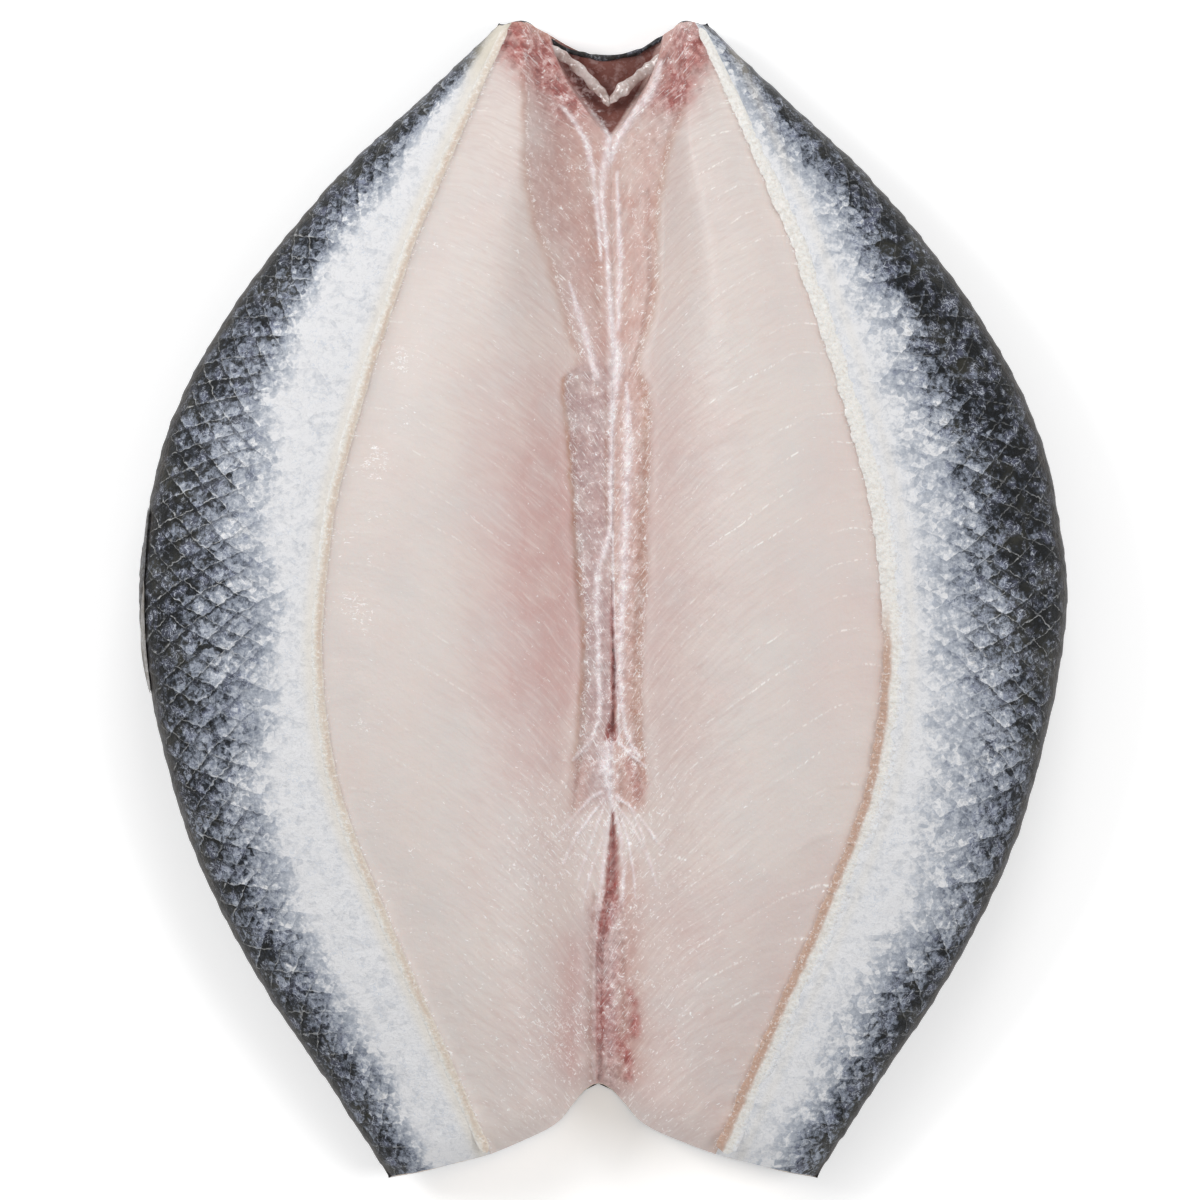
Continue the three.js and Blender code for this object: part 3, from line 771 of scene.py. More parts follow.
def skin_shell(side, sizes):
    """One half of the skin: scales outside, a plain inner wall, and cut edges between them."""
    rows = np.linspace(0, 1, SKIN_ROWS + 1)
    upper = np.linspace(0, 1, SIDE_SKIN_COLUMNS + 1)
    lower = 1 + np.linspace(0, 1, UNDER_SKIN_COLUMNS + 1)[1:] ** 1.15
    girth = np.append(upper, lower)
    points, distance = girth_point(side, girth[None, :], rows[:, None])
    normals = side * outward_normals(points)
    a, b = scale_cells(points, distance, SIDE_SKIN_COLUMNS, sizes)
    x, y = points[..., 0], points[..., 1]
    width_share = np.sin(np.clip(girth, 0, 1) * np.pi / 2) + np.maximum(girth - 1, 0)
    width_share = width_share + 0.05 * noise(44, 11, x, y) + 0.035 * noise(46, 4, x, y)
    tone = skin_tone(width_share, y, side)
    borders = along(BORDERS[side], y) * smoothstep(tone, 0.12, 0.4)
    borders = borders * (0.75 + 0.4 * noise(47, 6, x, y))
    from_rim = distance - along(FLESH_HALF_WIDTH, y)
    depth = sizes.scale_lift / MM * scale_relief(a, b) * smoothstep(tone, 0.15, 0.5)
    depth += 0.1 * (1 + noise(45, 3.2, x, y)) + 0.05 * noise(48, 1.1, x, y)
    depth *= smoothstep(girth, 0, 0.08)
    outer = points - depth[..., None] * normals
    outer[..., 2] = np.maximum(outer[..., 2], 0)
    inner_side = np.linspace(0, 1, INNER_SIDE_COLUMNS + 1)
    inner_girth = np.append(inner_side, under_girths(HIDDEN_UNDER_COLUMNS))[::-1]
    inner = inner_skin(side, inner_girth[::-1], rows, sizes.skin_thickness / MM)[:, ::-1]
    loop = np.concatenate([outer, inner], axis=1)
    # Each end shuts where its outer columns are drawn onto the inner wall.
    nearest = np.abs(girth[:, None] - inner_girth[None, :]).argmin(axis=1)
    snap = np.append(nearest, np.arange(len(inner_girth))) + outer.shape[1]
    ends = {end: loop[end][snap] for end in (0, -1)}
    shell = np.concatenate([ends[0][None], loop, ends[-1][None]])
    masks = {key: np.zeros(shell.shape[:2]) for key in SKIN_MASKS}
    seen = (slice(1, -1), slice(0, outer.shape[1]))
    line_place, line_width, line_tone = (1.6, 1.3, 0.6) if side < 0 else (4.4, 0.9, 0.25)
    pale_line = line_tone * bell(from_rim, line_place, line_width)
    turned = smoothstep(girth, 0.76, 0.86) * (1 - smoothstep(girth, 1.02, 1.2))
    olive = between(y, 86, 110, 4) * (1 - smoothstep(from_rim, 1.5, 5)) * (side < 0)
    shown = {
        "tone": tone, "borders": np.clip(borders, 0, 1),
        "warm": np.where(girth < 0.9, pale_line, 0), "turned": turned * between(y, -110, 75, 12),
        "olive": 0.8 * olive * (1 - smoothstep(girth, 0.6, 0.95)),
    }
    for key, mask in shown.items():
        masks[key][seen] = mask
    masks["inside"][:, outer.shape[1]:] = masks["inside"][0] = 1
    masks["inside"][-1], masks["tone"][-1] = 0, 0.9  # the edge at the head end is dark skin
    cells = np.zeros((*shell.shape[:2], 2))
    cells[seen] = np.stack([a, b], axis=-1)
    return shell, masks, cells


# --- strands and fat ---------------------------------------------------------------------------

# How far out from the rim the inner and the outer edge of the fat lie, by place along Y.
FAT_INNER_EDGE = {-1: ((-95, -0.4), (95, -0.3)), 1: ((-95, -0.5), (95, -0.3))}
FAT_OUTER_EDGE = {
    -1: ((-95, 1.3), (0, 1.5), (60, 1.4), (95, 0.9)),
    1: ((-95, 2.8), (-60, 3.4), (0, 3.3), (50, 2.4), (80, 1.5), (95, 1)),
}
FAT_ENDS = (-91.0, 94.0)
FAT_COLUMNS, FAT_ROWS, FAT_SHARPNESS = 28, 1100, 1.4
BAND_COLUMNS, BLADE_COLUMNS = 24, 12


def tube(path, half_width, rise, base_at, sink, columns, sharpness=1.0):
    """A closed bead along a path: a grid of rows round it, drawn to a point at both ends.

    It stands a rise above the surface that base_at gives for x and y, and a sink below it. A
    sharpness over 1 gives it a narrower top and thinner edges.
    """
    forward = np.gradient(path, axis=0)
    forward = forward / np.linalg.norm(forward, axis=1, keepdims=True)
    across = np.stack([forward[:, 1], -forward[:, 0]], axis=1)
    turn = np.arange(columns) / columns * 2 * np.pi
    taper = np.sqrt(np.clip(np.minimum(
        np.arange(len(path)), np.arange(len(path))[::-1]) / TAPER_ROWS, 0, 1))
    width = (half_width * taper)[:, None]
    x = path[:, :1] - across[:, :1] * width * np.cos(turn)
    y = path[:, 1:] - across[:, 1:] * width * np.cos(turn)
    swell = np.sign(np.sin(turn)) * np.abs(np.sin(turn)) ** sharpness
    lift = np.where(swell > 0, rise[:, None], sink) * taper[:, None] * swell
    return np.stack([x, y, base_at(x, y) + lift], axis=-1)


def even_path(stations, spacing):
    """Points at even spacing on a smooth curve through (x, y, width) stations."""
    spots = np.array(stations, float)
    lengths = np.append(0, np.cumsum(np.hypot(*np.diff(spots[:, :2], axis=0).T)))
    at = np.linspace(0, lengths[-1], max(int(lengths[-1] / spacing), 8))
    return np.stack([
        along(np.column_stack([lengths, spots[:, k]]), at) for k in range(3)], axis=1)


def floating_band(stations, seed, above_floor, rise):
    """A band that hangs a little above the floor of the gap."""
    path = even_path(stations, BAND_STEP)
    half_width = path[:, 2] / 2 * (1 + 0.3 * noise(seed, 1.1, path[:, 0], path[:, 1]))

    def base_at(x, y):
        lumps = 0.12 * noise(seed + 1, 0.9, x, y) + 0.2 * noise(seed + 2, 2.2, x, y)
        above = above_floor * smoothstep(path[:, 1], 77, 81.5)
        return (along(GAP_FLOOR_HEIGHT, path[:, 1]) + above)[:, None] + lumps

    return tube(path[:, :2], half_width, rise * half_width, base_at, 0.5, BAND_COLUMNS)


def upper_skin_height(x, y):
    """Height of the skin between the rim and the outline, and the distance out from the rim."""
    outward = np.abs(x - middle_shift(np.abs(x), y)) - along(FLESH_HALF_WIDTH, y)
    room = along(HALF_WIDTH, y) - along(FLESH_HALF_WIDTH, y)
    fall = np.sqrt(1 - np.clip(outward / room, 0, 0.999) ** 2)
    waist = along(WAIST_HEIGHT, y)
    height = waist + (along(RIM_HEIGHT, y) - waist) * fall
    return rounded_end(height, y, 0.5 + y / LENGTH), outward


def fat_bead(side):
    """The cut fat along the rim: a smooth fold on the left, a fluffy band on the right."""
    rows = np.linspace(0.002, 0.998, FAT_ROWS)
    y = mix(*FAT_ENDS, rows)
    inner, outer = along(FAT_INNER_EDGE[side], y), along(FAT_OUTER_EDGE[side], y)
    ragged = 0.13 * noise(51, 0.4, y, 0 * y) + 0.2 * noise(52, 1.9, y, 0 * y)
    inner = inner + ragged * (1 if side > 0 else 0.3)
    half = along(FLESH_HALF_WIDTH, y)
    x = side * (half + (inner + outer) / 2) + middle_shift(half, y)
    coarse, fine, dip, stand = (0.04, 0.02, 0.1, 0.1) if side < 0 else (0.06, 0.07, 0.22, 0.24)

    def base_at(x, y):
        height, outward = upper_skin_height(x, y)
        crumbs = coarse * noise(53, 1.3, x, y) + fine * noise(54, 0.5, x, y)
        return height + crumbs - dip * smoothstep(outward, 0.4, 2.6)

    rise = stand + 0.04 * noise(57, 3, y, 0 * y)
    path = np.column_stack([x, y])
    return tube(path, (outer - inner) / 2, rise, base_at, 0.9, FAT_COLUMNS, FAT_SHARPNESS)


def fat_tint(side, bead, colours):
    """Cream and tan on the left fold; on the right a tan cleft below and a pale line outside.

    The tan line of the fold and the tan cleft are painted shade in the groove beside the flesh.
    """
    x, y = bead[..., 0], bead[..., 1]
    outward = upper_skin_height(x, y)[1] + 0.2 * noise(55, 1.5, x, y)
    if side < 0:
        uneven = 0.7 + 0.5 * noise(56, 6, x, y)
        layers = (
            (0.7 - 0.7 * smoothstep(outward, 0.4, 1.4), colours.cream),
            (0.36 * bell(outward, 0.1, 0.4) * uneven, colours.tan),
        )
    else:
        below = smoothstep(-y, -2, 10)
        layers = (
            (0.85 * below * (1 - smoothstep(outward, 0.5, 1.2)), colours.tan),
            (smoothstep(outward, 1.8, 2.8), colours.belly),
        )
    tint = np.ones((*x.shape, 4))
    tint[..., :3] = colours.fat
    for amount, tone in layers:
        tint[..., :3] = mix(tint[..., :3], np.array(tone), np.clip(amount, 0, 1)[..., None])
    return tint


# Two long thin scales that stand off the outline on the left, as (x, y, width).
LOOSE_SCALES = (
    ((-74.4, 15, 0.3), (-75, 8, 0.6), (-75.4, 3, 0.8), (-75.7, -1.4, 0.4)),
    ((-75.1, 3, 0.3), (-75.3, -3, 0.7), (-75.1, -9, 0.9), (-74.1, -15.6, 0.4)),
)


def plain_masks(points, **values):
    """Skin masks of one value each for a small piece."""
    return {key: np.full(points.shape[:2], values.get(key, 0.0)) for key in SKIN_MASKS}


def loose_scale(stations, seed):
    """A thin blade that lies along the widest line of the body."""
    path = even_path(stations, BLADE_STEP)

    def base_at(x, y):
        return upper_skin_height(x, y)[0] + 0.1 + 0.15 * noise(seed, 1.5, x, y)

    return tube(path[:, :2], path[:, 2] / 2, np.full(len(path), 0.2), base_at, 0.3, BLADE_COLUMNS)


# --- making meshes -----------------------------------------------------------------------------

def shaped_grid(name, points, masks=None, coordinates=None):
    """Adds a grid and moves its vertices onto the points, given in mm as rows of columns.

    Its last column joins its first one. Points in one place become one vertex.
    """
    def shut(layer):
        return np.concatenate([layer, layer[:, :1]], axis=1)

    points = shut(points)
    rows, columns = points.shape[:2]
    bpy.ops.object.select_all(action="DESELECT")
    bpy.ops.mesh.primitive_grid_add(
        x_subdivisions=columns - 1, y_subdivisions=rows - 1, size=1, calc_uvs=False)
    piece = bpy.context.object
    piece.name = piece.data.name = name
    mesh = piece.data
    mesh.vertices.foreach_set("co", (points.reshape(-1, 3) * MM).astype(np.float32).ravel())
    for key, mask in (masks or {}).items():
        kind, field = ("FLOAT", "value") if mask.ndim == 2 else ("FLOAT_COLOR", "color")
        layer = mesh.attributes.new(key, kind, "POINT")
        layer.data.foreach_set(field, shut(mask).astype(np.float32).ravel())
    if coordinates is not None:
        corner = np.zeros(len(mesh.loops), np.int32)
        mesh.loops.foreach_get("vertex_index", corner)
        flat = shut(coordinates).reshape(-1, 2)[corner]
        layer = mesh.uv_layers.new(name="pattern")
        layer.data.foreach_set("uv", flat.astype(np.float32).ravel())
    mesh.update()
    bpy.ops.object.mode_set(mode="EDIT")
    bpy.ops.mesh.select_all(action="SELECT")
    bpy.ops.mesh.remove_doubles(threshold=1e-7)
    bpy.ops.mesh.normals_make_consistent(inside=False)
    bpy.ops.object.mode_set(mode="OBJECT")
    bpy.ops.object.shade_smooth_by_angle(angle=math.radians(60))
    return piece


def joined(name, parts):
    """Joins finished grids into one piece."""
    bpy.ops.object.select_all(action="DESELECT")
    for part in parts:
        part.select_set(True)
    bpy.context.view_layer.objects.active = parts[0]
    bpy.ops.object.join()
    whole = bpy.context.object
    whole.name = whole.data.name = name
    return whole


def finish_piece(piece, material):
    piece.data.materials.clear()
    piece.data.materials.append(material)
    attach(piece, "root")
    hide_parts(SOLID)


# --- materials ---------------------------------------------------------------------------------

def add_node(tree, kind, inputs=(), out=0, **settings):
    """Adds a shader node, sets its properties, fills its inputs and gives one of its outputs.

    Inputs come in the node's own order, or by number or name. One given as a socket is linked.
    """
    made = tree.nodes.new("ShaderNode" + kind)
    for key, value in settings.items():
        setattr(made, key, value)
    for key, value in (inputs if isinstance(inputs, dict) else dict(enumerate(inputs))).items():
        if isinstance(value, NodeSocket):
            tree.links.new(value, made.inputs[key])
        else:
            made.inputs[key].default_value = value
    return made.outputs[out]


def new_material(name, **values):
    """A new material, what adds nodes to it, and its shader with the values set."""
    material = bpy.data.materials.new(name)
    material.use_nodes = True
    shader = material.node_tree.nodes["Principled BSDF"]
    for key, value in values.items():
        shader.inputs[key.replace("_", " ")].default_value = value
    return material, partial(add_node, material.node_tree), shader


def cover_shader(material, add, shader, base, layers, heights):
    """Lays tones over a base, each by its own amount, and stacks bumps of the heights."""
    for amount, tone in layers:
        base = add("Mix", {0: amount, 6: base, 7: tone}, out=2, data_type="RGBA")
    bump = {}
    for height, strength, distance in heights:
        reach = {"Strength": strength, "Distance": distance, "Height": height}
        bump = {"Normal": add("Bump", {**reach, **bump})}
    for key, source in {"Base Color": base, **bump}.items():
        material.node_tree.links.new(source, shader.inputs[key])


def opaque(hex_colour):
    return (*linear(hex_colour), 1)


def flesh_material(sizes):
    """Raw fish muscle, cut with a knife and wet: translucent ivory with pale lines and glints."""
    material, add, shader = new_material(
        "raw_milkfish_flesh", Roughness=0.5, IOR=1.40, Subsurface_Weight=0.15,
        Subsurface_Radius=(1.0, 0.55, 0.42), Subsurface_Scale=0.0015,
        Coat_Weight=0.25, Coat_Roughness=0.35, Coat_IOR=1.33,
    )
    mask = {key: add("Attribute", out="Fac", attribute_name=key) for key in FLESH_MASKS}
    tint = add("Attribute", out="Color", attribute_name="tint")
    here = add("TexCoord", out="Object")
    pattern = add("UVMap", uv_map="pattern")
    across, outward = (add("SeparateXYZ", (pattern,), out=axis) for axis in (0, 1))

    # Fibres about 0.8 mm apart, drawn a little coarser than real ones so that they show, specks
    # of painted wet glint drawn out along them, clouds of 10 mm, veins of 1.5 mm and a grain of
    # 0.7 mm.
    along_fibres, along_specks = (
        add("VectorMath", (pattern, stretch), operation="MULTIPLY")
        for stretch in ((1.3, 0.25, 1), (2.4, 0.85, 1))
    )
    fibre, speck, cloud, vein, grain = (
        add("TexNoise", {"Vector": place, "Scale": scale, "Detail": detail,
                         "Roughness": rough, "Distortion": twist})
        for place, scale, detail, rough, twist in (
            (along_fibres, 1, 3, 0.62, 0.7), (along_specks, 1, 2, 0.7, 0.5),
            (here, 110, 3, 0.5, 0), (here, 700, 4, 0.7, 0), (here, 1500, 2, 0.5, 0))
    )
    clear, near_seam, pale_fibre, dark_fibre, cool, warm, pale_vein, dark_vein = (
        add("MapRange", source_and_limits) for source_and_limits in (
            (mask["lined"], 0, 0.4, 0, 1), (outward, 30, 14, 0.25, 1),
            (fibre, 0.5, 0.7, 0, 0.26), (fibre, 0.5, 0.3, 0, 0.26),
            (cloud, 0.5, 0.72, 0, 0.4), (cloud, 0.5, 0.3, 0, 0.4),
            (vein, 0.48, 0.64, 0, 0.8), (vein, 0.5, 0.36, 0, 0.6))
    )
    near_seam = add("Math", (near_seam, clear), operation="MULTIPLY")
    # wet_sheen is a painted sheen on the pale veins of the wet lining and tips.
    pale_fibre, dark_fibre, cool, warm, raw_red, deep_red, wet_grey, wet_sheen, milky, wet_relief = (
        add("Math", pair, operation="MULTIPLY") for pair in (
            (pale_fibre, near_seam), (dark_fibre, near_seam), (cool, clear), (warm, clear),
            (pale_vein, mask["blood"]), (dark_vein, mask["blood"]), (dark_vein, mask["wet"]),
            (pale_vein, mask["wet"]), (pale_vein, mask["milk"]), (vein, mask["wet"]))
    )

    # Lines between the muscle blocks broken into dashes, and finer ones near the seam, near white:
    # partly the pale tissue between the blocks and partly painted glints along it.
    bare = add("MapRange", (mask["lining"], 0, 0.6, 1, 0))
    bare = add("Math", (bare, mask["lined"]), operation="MULTIPLY")
    block = sizes.muscle_block / MM
    lines = []
    for spacing, half_width, reach, dashes, fades in (
        (block, 0.26, (9, 17, 0, 0.9), (0.9, 1.5, 1), (0.11, 0.13, 1)),
        (block / 3, 0.16, (24, 14, 0, 0.45), (1.1, 1.1, 1), (0.22, 0.2, 1)),
    ):
        blocks = add("Math", (across, spacing), operation="DIVIDE")
        to_line = add("Math", (blocks, 0.5), operation="PINGPONG")
        line = add("MapRange", (to_line, 0, half_width / spacing, 1, 0))
        factors = []
        for stretch, high in ((dashes, 0.56), (fades, 0.6)):
            place = add("VectorMath", (pattern, stretch), operation="MULTIPLY")
            part = add("TexNoise", {"Vector": place, "Scale": 1, "Detail": 2, "Roughness": 0.6})
            factors.append(add("MapRange", (part, 0.46, high, 0, 1)))
        for factor in (*factors, add("MapRange", (outward, *reach)), bare):
            line = add("Math", (line, factor), operation="MULTIPLY")
        lines.append(line)

    # Painted wet glints, white in the base colour: short curved strokes about 0.2 mm wide, and the
    # specks, thick where the glint mask is high.
    glints = []
    for scale, middle, width, gate_scale in ((900, 0.5, 0.024, 700), (1600, 0.55, 0.038, 1000)):
        wave = add("TexNoise", {
            "Vector": here, "Scale": scale, "Detail": 1, "Roughness": 0.5, "Distortion": 0.6})
        gate = add("TexNoise", {
            "Vector": here, "Scale": gate_scale, "Detail": 2, "Roughness": 0.6})
        off = add("Math", (wave, middle), operation="SUBTRACT")
        off = add("Math", (off,), operation="ABSOLUTE")
        stroke = add("MapRange", (off, width, 0.3 * width, 0, 1))
        glints.append((stroke, gate, (0, 1, 0.76, 0.47), (0, 0.06, 0, 0.7)))
    speck_glint = add("MapRange", (mask["glint"], 0.02, 0.1, 0, 1))
    glints.append((speck_glint, speck, (0, 0.8, 0.72, 0.6), (0, 0.04, 0, 0.55)))
    glint = 0.0
    for stroke, gate, need, show in glints:
        needed = add("MapRange", (mask["glint"], *need))
        spare = add("Math", (gate, needed), operation="SUBTRACT")
        shown = add("MapRange", (spare, *show))
        stroke = add("Math", (stroke, shown), operation="MULTIPLY")
        glint = add("Math", (stroke, glint), operation="MAXIMUM")

    cover_shader(material, add, shader, tint, (
        (cool, opaque("#CFC9C6")), (warm, opaque("#DACDC6")),
        (raw_red, opaque("#C4857D")), (deep_red, opaque("#7A2F2A")),
        (wet_grey, opaque("#9A7A76")), (wet_sheen, opaque("#DCC9C7")),
        (milky, opaque("#F2EDEF")),
        (dark_fibre, opaque("#BFA099")), (pale_fibre, opaque("#E9E1DB")),
        (lines[0], opaque("#F6F3EF")), (lines[1], opaque("#F0E6E2")), (glint, (1, 1, 1, 1)),
    ), ((grain, 0.3, 0.0002), (wet_relief, 0.6, 0.0004)))
    return material


def skin_material(colours):
    """Scaled fish skin, wet: guanine silver over pigment, white below and blue black above."""
    material, add, shader = new_material(
        "milkfish_skin", Roughness=0.45, Specular_IOR_Level=0.18, Coat_Weight=0.1,
        Coat_Roughness=0.2, Coat_IOR=1.33,
    )
    mask = {key: add("Attribute", out="Fac", attribute_name=key) for key in SKIN_MASKS}
    here = add("TexCoord", out="Object")
    pattern = add("UVMap", uv_map="pattern")

    # Crumpled foil: facets of about a millimetre, each with finer creases, and two nets of fine
    # wrinkles: painted glitter along one, and painted shade in the creases of the other.
    foil, felt, broad, breaks, patches, glitter, wrinkle_shade = (
        add("TexNoise", {"Vector": here, "Scale": scale, "Detail": detail, "Roughness": rough,
                         "Distortion": twist})
        for scale, detail, rough, twist in (
            (1000, 4, 0.75, 0), (1900, 2, 0.6, 0), (150, 3, 0.5, 0), (420, 3, 0.6, 0),
            (340, 2, 0.5, 0), (900, 2, 0.55, 1), (620, 2, 0.55, 1))
    )
    facet = add("TexVoronoi", {"Vector": here, "Scale": 1050}, out="Color")
    facet = add("SeparateColor", (facet,))
    wrinkles = []
    for wave, middle, width in ((glitter, 0.5, 0.03), (wrinkle_shade, 0.53, 0.022)):
        off = add("Math", (wave, middle), operation="SUBTRACT")
        off = add("Math", (off,), operation="ABSOLUTE")
        wrinkles.append(add("MapRange", (off, width, 0.2 * width, 0, 1)))
    glitter, wrinkle_shade = wrinkles

    # The cells of the pattern are the bare parts of the scales, their borders bent a little. A
    # painted highlight stands on the free edge, on the tail side of a border, and a painted shadow
    # in the pocket on its head side.
    bends = []
    for scale, detail, amount in ((380, 2, 0.34), (1100, 1, 0.2)):
        bend = add("TexNoise", {"Vector": here, "Scale": scale, "Detail": detail}, out="Color")
        bend = add("VectorMath", (bend, (0.5, 0.5, 0.5)), operation="SUBTRACT")
        bends.append(add("VectorMath", {0: bend, "Scale": amount}, operation="SCALE"))
    bend = add("VectorMath", bends, operation="ADD")
    place = add("VectorMath", (pattern, bend), operation="ADD")
    cell = add("VectorMath", (place,), operation="FLOOR")
    lot = add("TexWhiteNoise", {"Vector": cell}, noise_dimensions="2D")
    rough = add("Math", (foil, 0.5), operation="SUBTRACT")
    slopes, pocket_shadows, edges = [], [], []
    for axis, source in ((0, breaks), (1, foil)):
        part = add("SeparateXYZ", (place,), out=axis)
        part = add("Math", (part,), operation="FRACT")
        depth = add("MapRange", (source, 0.38, 0.62, 0.03, 0.26))
        pocket_shadow = add("Math", (part, depth), operation="ADD")
        edge = add("Math", (rough, 0.22, part), operation="MULTIPLY_ADD")
        slopes.append(part)
        pocket_shadows.append(add("MapRange", (pocket_shadow, 0.99, 1.03, 0, 1)))
        edges.append(add("MapRange", (edge, 0.07, 0.035, 0, 1)))
    slope, pocket_shadow, edge = (
        add("Math", pair, operation="MAXIMUM") for pair in (slopes, pocket_shadows, edges))

    swing = add("MapRange", (mask["tone"], 0, 0.4, 0.22, 1))
    varied = mask["tone"]
    # The slope term is painted shade: each scale grows darker towards its pocket under the next one.
    for source, middle, amount in (
        (foil, 0.5, 1.15), (broad, 0.5, 0.45), (lot, 0.5, 0.25), (felt, 0.5, 0.7),
        (facet, 0.5, 0.42), (patches, 0.5, 0.4), (slope, 0.6, 0.3),
    ):
        change = add("Math", (source, middle), operation="SUBTRACT")
        change = add("Math", (change, swing), operation="MULTIPLY")
        varied = add("Math", (change, amount, varied), operation="MULTIPLY_ADD")
    silver, flank, shade, back = (
        add("MapRange", (varied, low, high, 0, 1))
        for low, high in ((0, 0.2), (0.2, 0.5), (0.5, 0.8), (0.8, 1))
    )

    # Streaks along the outline, where the skin turns under.
    ways = []
    for way, scale in (((1, 1, 0), 0.5), ((1, -1, 0), 9)):
        run = add("VectorMath", (pattern, way), out="Value", operation="DOT_PRODUCT")
        ways.append(add("Math", (run, scale), operation="MULTIPLY"))
    streak = add("TexNoise", {
        "Vector": add("CombineXYZ", ways), "Scale": 1, "Detail": 3, "Roughness": 0.6})
    turned = add("Math", (mask["turned"], 0.85), operation="MULTIPLY")
    bare = add("Math", (1, turned), operation="SUBTRACT")
    darker, lit, dashed, pale_streak, picked, sunk, lilac, olive, metal = (
        add("MapRange", source_and_limits) for source_and_limits in (
            (mask["tone"], 0.25, 0.8, 0.3, 0.9), (breaks, 0.54, 0.44, 0, 0.65),
            (felt, 0.42, 0.52, 0.25, 1), (streak, 0.5, 0.64, 0, 0.6),
            (breaks, 0.48, 0.6, 0, 0.75), (mask["tone"], 0.2, 0.6, 0.1, 0.6),
            (breaks, 0.5, 0.7, 0, 0.35), (broad, 0.5, 0.36, 0, 0.4),
            (mask["tone"], 0.1, 0.6, 0, 0.15))
    )
    shown = []
    for amount, *factors in (
        (pocket_shadow, darker, mask["borders"], bare), (edge, lit, dashed, mask["borders"], bare),
        (glitter, picked, bare), (wrinkle_shade, sunk), (lilac, flank), (olive, shade),
        (pale_streak, turned),
    ):
        for factor in factors:
            amount = add("Math", (amount, factor), operation="MULTIPLY")
        shown.append(amount)
    pocket_shadow, edge, glitter, wrinkle_shade, lilac, olive, pale_streak = shown
    # Over the tones go painted shade and light: pocket shadows, edge highlights, glitter and wrinkle
    # shade.
    cover_shader(material, add, shader, (*colours.belly, 1), (
        (silver, (*colours.silver, 1)), (flank, (*colours.flank, 1)),
        (shade, (*colours.shade, 1)), (back, (*colours.back, 1)),
        (lilac, opaque("#8B90AC")), (olive, opaque("#47453A")),
        (turned, opaque("#1E1A17")), (pale_streak, opaque("#665E57")),
        (wrinkle_shade, opaque("#23272D")), (glitter, opaque("#C6CCD6")),
        (pocket_shadow, opaque("#0D0F11")), (edge, opaque("#D6D7D8")),
        (mask["olive"], opaque("#B9B09A")), (mask["warm"], opaque("#E2DACD")),
        (mask["inside"], (*colours.cut, 1)),
    ), ((foil, 0.5, 0.0005), (felt, 0.35, 0.0002)))
    material.node_tree.links.new(metal, shader.inputs["Metallic"])
    return material


def fat_material():
    """Fat under the skin: soft, white, slightly translucent, torn into crumbs by the knife."""
    material, add, shader = new_material(
        "subcutaneous_fat", Roughness=0.45, Subsurface_Weight=0.2, Subsurface_Scale=0.0015,
        Subsurface_Radius=(1.0, 0.8, 0.65), Coat_Weight=0.3, Coat_Roughness=0.2,
    )
    here = add("TexCoord", out="Object")
    tint = add("Attribute", out="Color", attribute_name="tint")
    crumb = add("TexNoise", {"Vector": here, "Scale": 1900, "Detail": 2, "Roughness": 0.65})
    shade = add("MapRange", (crumb, 0.5, 0.3, 0, 0.45))
    light = add("MapRange", (crumb, 0.54, 0.7, 0, 0.6))
    layers = (shade, opaque("#C4B8AC")), (light, opaque("#F4F1ED"))
    cover_shader(material, add, shader, tint, layers, ((crumb, 0.6, 0.0003),))
    return material


def fascia_material():
    """Fascia: thin wet connective tissue, shiny and milky, mauve brown where it is thinnest."""
    material, add, shader = new_material(
        "wet_fascia", Roughness=0.3, Subsurface_Weight=0.2, Subsurface_Scale=0.0012,
        Subsurface_Radius=(1.0, 0.6, 0.6), Coat_Weight=0.7, Coat_Roughness=0.12,
    )
    here = add("TexCoord", out="Object")
    cloud = add("TexNoise", {"Vector": here, "Scale": 420, "Detail": 3, "Roughness": 0.6})
    fleck = add("TexNoise", {"Vector": here, "Scale": 1500, "Detail": 2})
    thin = add("MapRange", (cloud, 0.42, 0.62, 0, 0.9))
    fleck = add("MapRange", (fleck, 0.6, 0.7, 0, 0.9))
    layers = (thin, opaque("#A08B84")), (fleck, opaque("#F4F1F0"))
    cover_shader(material, add, shader, opaque("#C9BCB8"), layers, ((cloud, 0.5, 0.0003),))
    return material


# --- operators ---------------------------------------------------------------------------------

class MILKFISH_OT_flesh(Operator):
    """Makes the two lobes of flesh, which meet in the seam"""
    bl_idname = "milkfish.flesh"
    bl_label = "Flesh"

    def execute(self, context):
        scene = context.scene
        material = flesh_material(scene.milkfish_sizes)
        for side, name in ((-1, "flesh_left"), (1, "flesh_right")):
            shell = flesh_shell(side, scene.milkfish_sizes, scene.milkfish_colours)
            finish_piece(shaped_grid(name, *shell), material)
        return {"FINISHED"}


class MILKFISH_OT_skin(Operator):
    """Makes the two halves of the scaled skin, and the lip of skin behind the gap"""
    bl_idname = "milkfish.skin"
    bl_label = "Scaled skin"

    def execute(self, context):
        scene = context.scene
        material = skin_material(scene.milkfish_colours)
        for side, name in ((-1, "skin_left"), (1, "skin_right")):
            piece = shaped_grid(name, *skin_shell(side, scene.milkfish_sizes))
            finish_piece(piece, material)
        lip = floating_band(GAP_LIP, 120, 0.3, 0.8)
        masks = plain_masks(lip, tone=0.85, turned=0.7)
        finish_piece(shaped_grid("gap_lip", lip, masks, lip[..., :2]), material)
        blades = []
        for k, stations in enumerate(LOOSE_SCALES):
            blade = loose_scale(stations, 130 + k)
            masks = plain_masks(blade, tone=0.6, turned=0.85 - 0.25 * k, warm=0.05 + 0.2 * k)
            blades.append(shaped_grid(f"blade_{k}", blade, masks, blade[..., :2]))
        finish_piece(joined("loose_scales", blades), material)
        return {"FINISHED"}


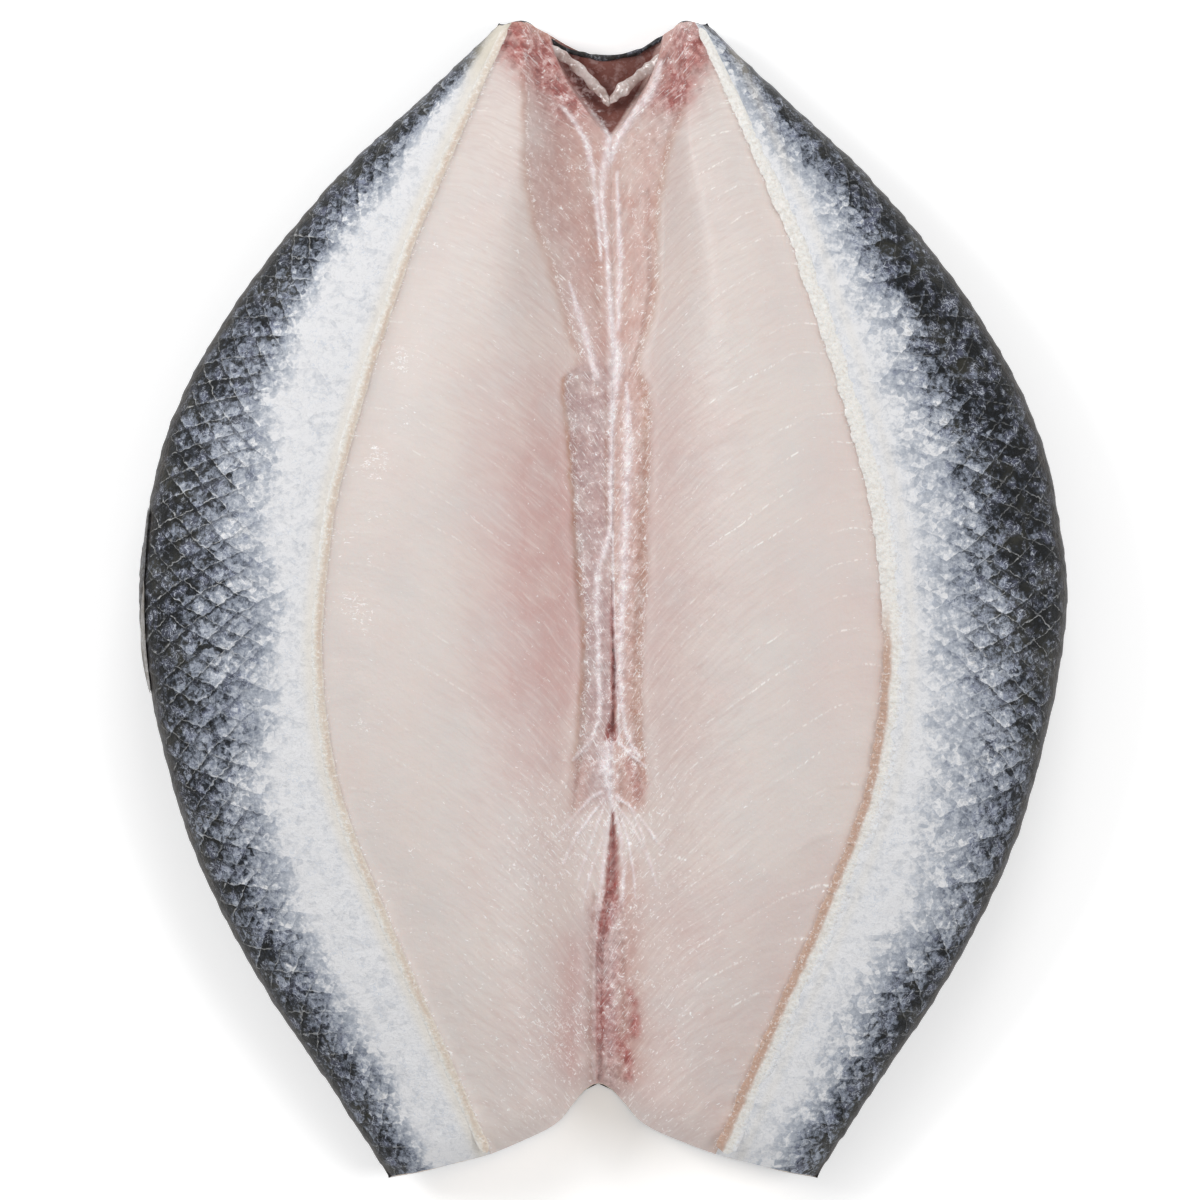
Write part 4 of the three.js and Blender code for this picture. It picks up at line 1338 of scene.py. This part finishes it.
class MILKFISH_OT_fat(Operator):
    """Makes the fat that shows along the cut edge of the skin"""
    bl_idname = "milkfish.fat"
    bl_label = "Fat along the rim"

    def execute(self, context):
        material = fat_material()
        for side, name in ((-1, "fat_left"), (1, "fat_right")):
            bead = fat_bead(side)
            tint = fat_tint(side, bead, context.scene.milkfish_colours)
            finish_piece(shaped_grid(name, bead, {"tint": tint}), material)
        return {"FINISHED"}


class MILKFISH_OT_fascia(Operator):
    """Makes the band of fascia across the gap"""
    bl_idname = "milkfish.fascia"
    bl_label = "Fascia band"

    def execute(self, context):
        arms = [
            shaped_grid(f"arm_{k}", floating_band(stations, 110 + 4 * k, 2.1 + 0.3 * k, 0.5))
            for k, stations in enumerate(GAP_BAND)
        ]
        finish_piece(joined("gap_band", arms), fascia_material())
        return {"FINISHED"}


class MILKFISH_OT_stage(Operator):
    """Makes the floor, the soft lights and the camera straight above"""
    bl_idname = "milkfish.stage"
    bl_label = "Stage"

    def execute(self, context):
        scene = context.scene
        bpy.ops.object.select_all(action="DESELECT")
        bpy.ops.mesh.primitive_plane_add(size=6, location=(0, 0, 0))
        floor = context.object
        floor.name = "floor"
        floor.data.materials.append(new_material(
            "pale_floor", Base_Color=(*scene.milkfish_colours.floor, 1), Roughness=0.9,
            Emission_Color=(1, 1, 1, 1), Emission_Strength=0.3,
        )[0])
        world = bpy.data.worlds.new("soft_room")
        world.use_nodes = True
        background = world.node_tree.nodes["Background"]
        background.inputs["Strength"].default_value = ROOM_LIGHT
        background.inputs["Color"].default_value = (1, 1, 1, 1)
        scene.world = world
        for name, place, size, power in LIGHTS:
            bpy.ops.object.light_add(type="AREA", location=place)
            light = context.object
            light.name = light.data.name = name
            light.data.size = size
            light.data.energy = power
            light.rotation_euler = (-Vector(place)).to_track_quat("-Z", "Y").to_euler()
        bpy.ops.object.camera_add(location=(*PICTURE_MIDDLE, CAMERA_HEIGHT), rotation=(0, 0, 0))
        camera = context.object
        camera.data.sensor_width = SENSOR_WIDTH
        camera.data.lens = SENSOR_WIDTH * (CAMERA_HEIGHT - PICTURE_HEIGHT) / PICTURE_WIDTH
        camera.data.clip_end = 20
        scene.camera = camera
        scene.view_settings.view_transform = "Standard"
        return {"FINISHED"}


class MILKFISH_PT_panel(Panel):
    bl_label = "Milkfish"
    bl_idname = "MILKFISH_PT_panel"
    bl_space_type = "VIEW_3D"
    bl_region_type = "UI"
    bl_category = "Milkfish"

    def draw(self, context):
        for operator in OPERATORS:
            self.layout.operator(operator.bl_idname)


OPERATORS = (
    MILKFISH_OT_stage, MILKFISH_OT_flesh, MILKFISH_OT_skin, MILKFISH_OT_fat, MILKFISH_OT_fascia,
)
CLASSES = (MilkfishSizes, MilkfishColours, *OPERATORS, MILKFISH_PT_panel)


def register():
    for each in CLASSES:
        bpy.utils.register_class(each)
    bpy.types.Scene.milkfish_sizes = PointerProperty(type=MilkfishSizes)
    bpy.types.Scene.milkfish_colours = PointerProperty(type=MilkfishColours)


def unregister():
    del bpy.types.Scene.milkfish_colours
    del bpy.types.Scene.milkfish_sizes
    for each in reversed(CLASSES):
        bpy.utils.unregister_class(each)


def main():
    register()
    bpy.ops.milkfish.stage()
    bpy.ops.milkfish.flesh()
    bpy.ops.milkfish.skin()
    bpy.ops.milkfish.fat()
    bpy.ops.milkfish.fascia()


if __name__ == "__main__":
    main()
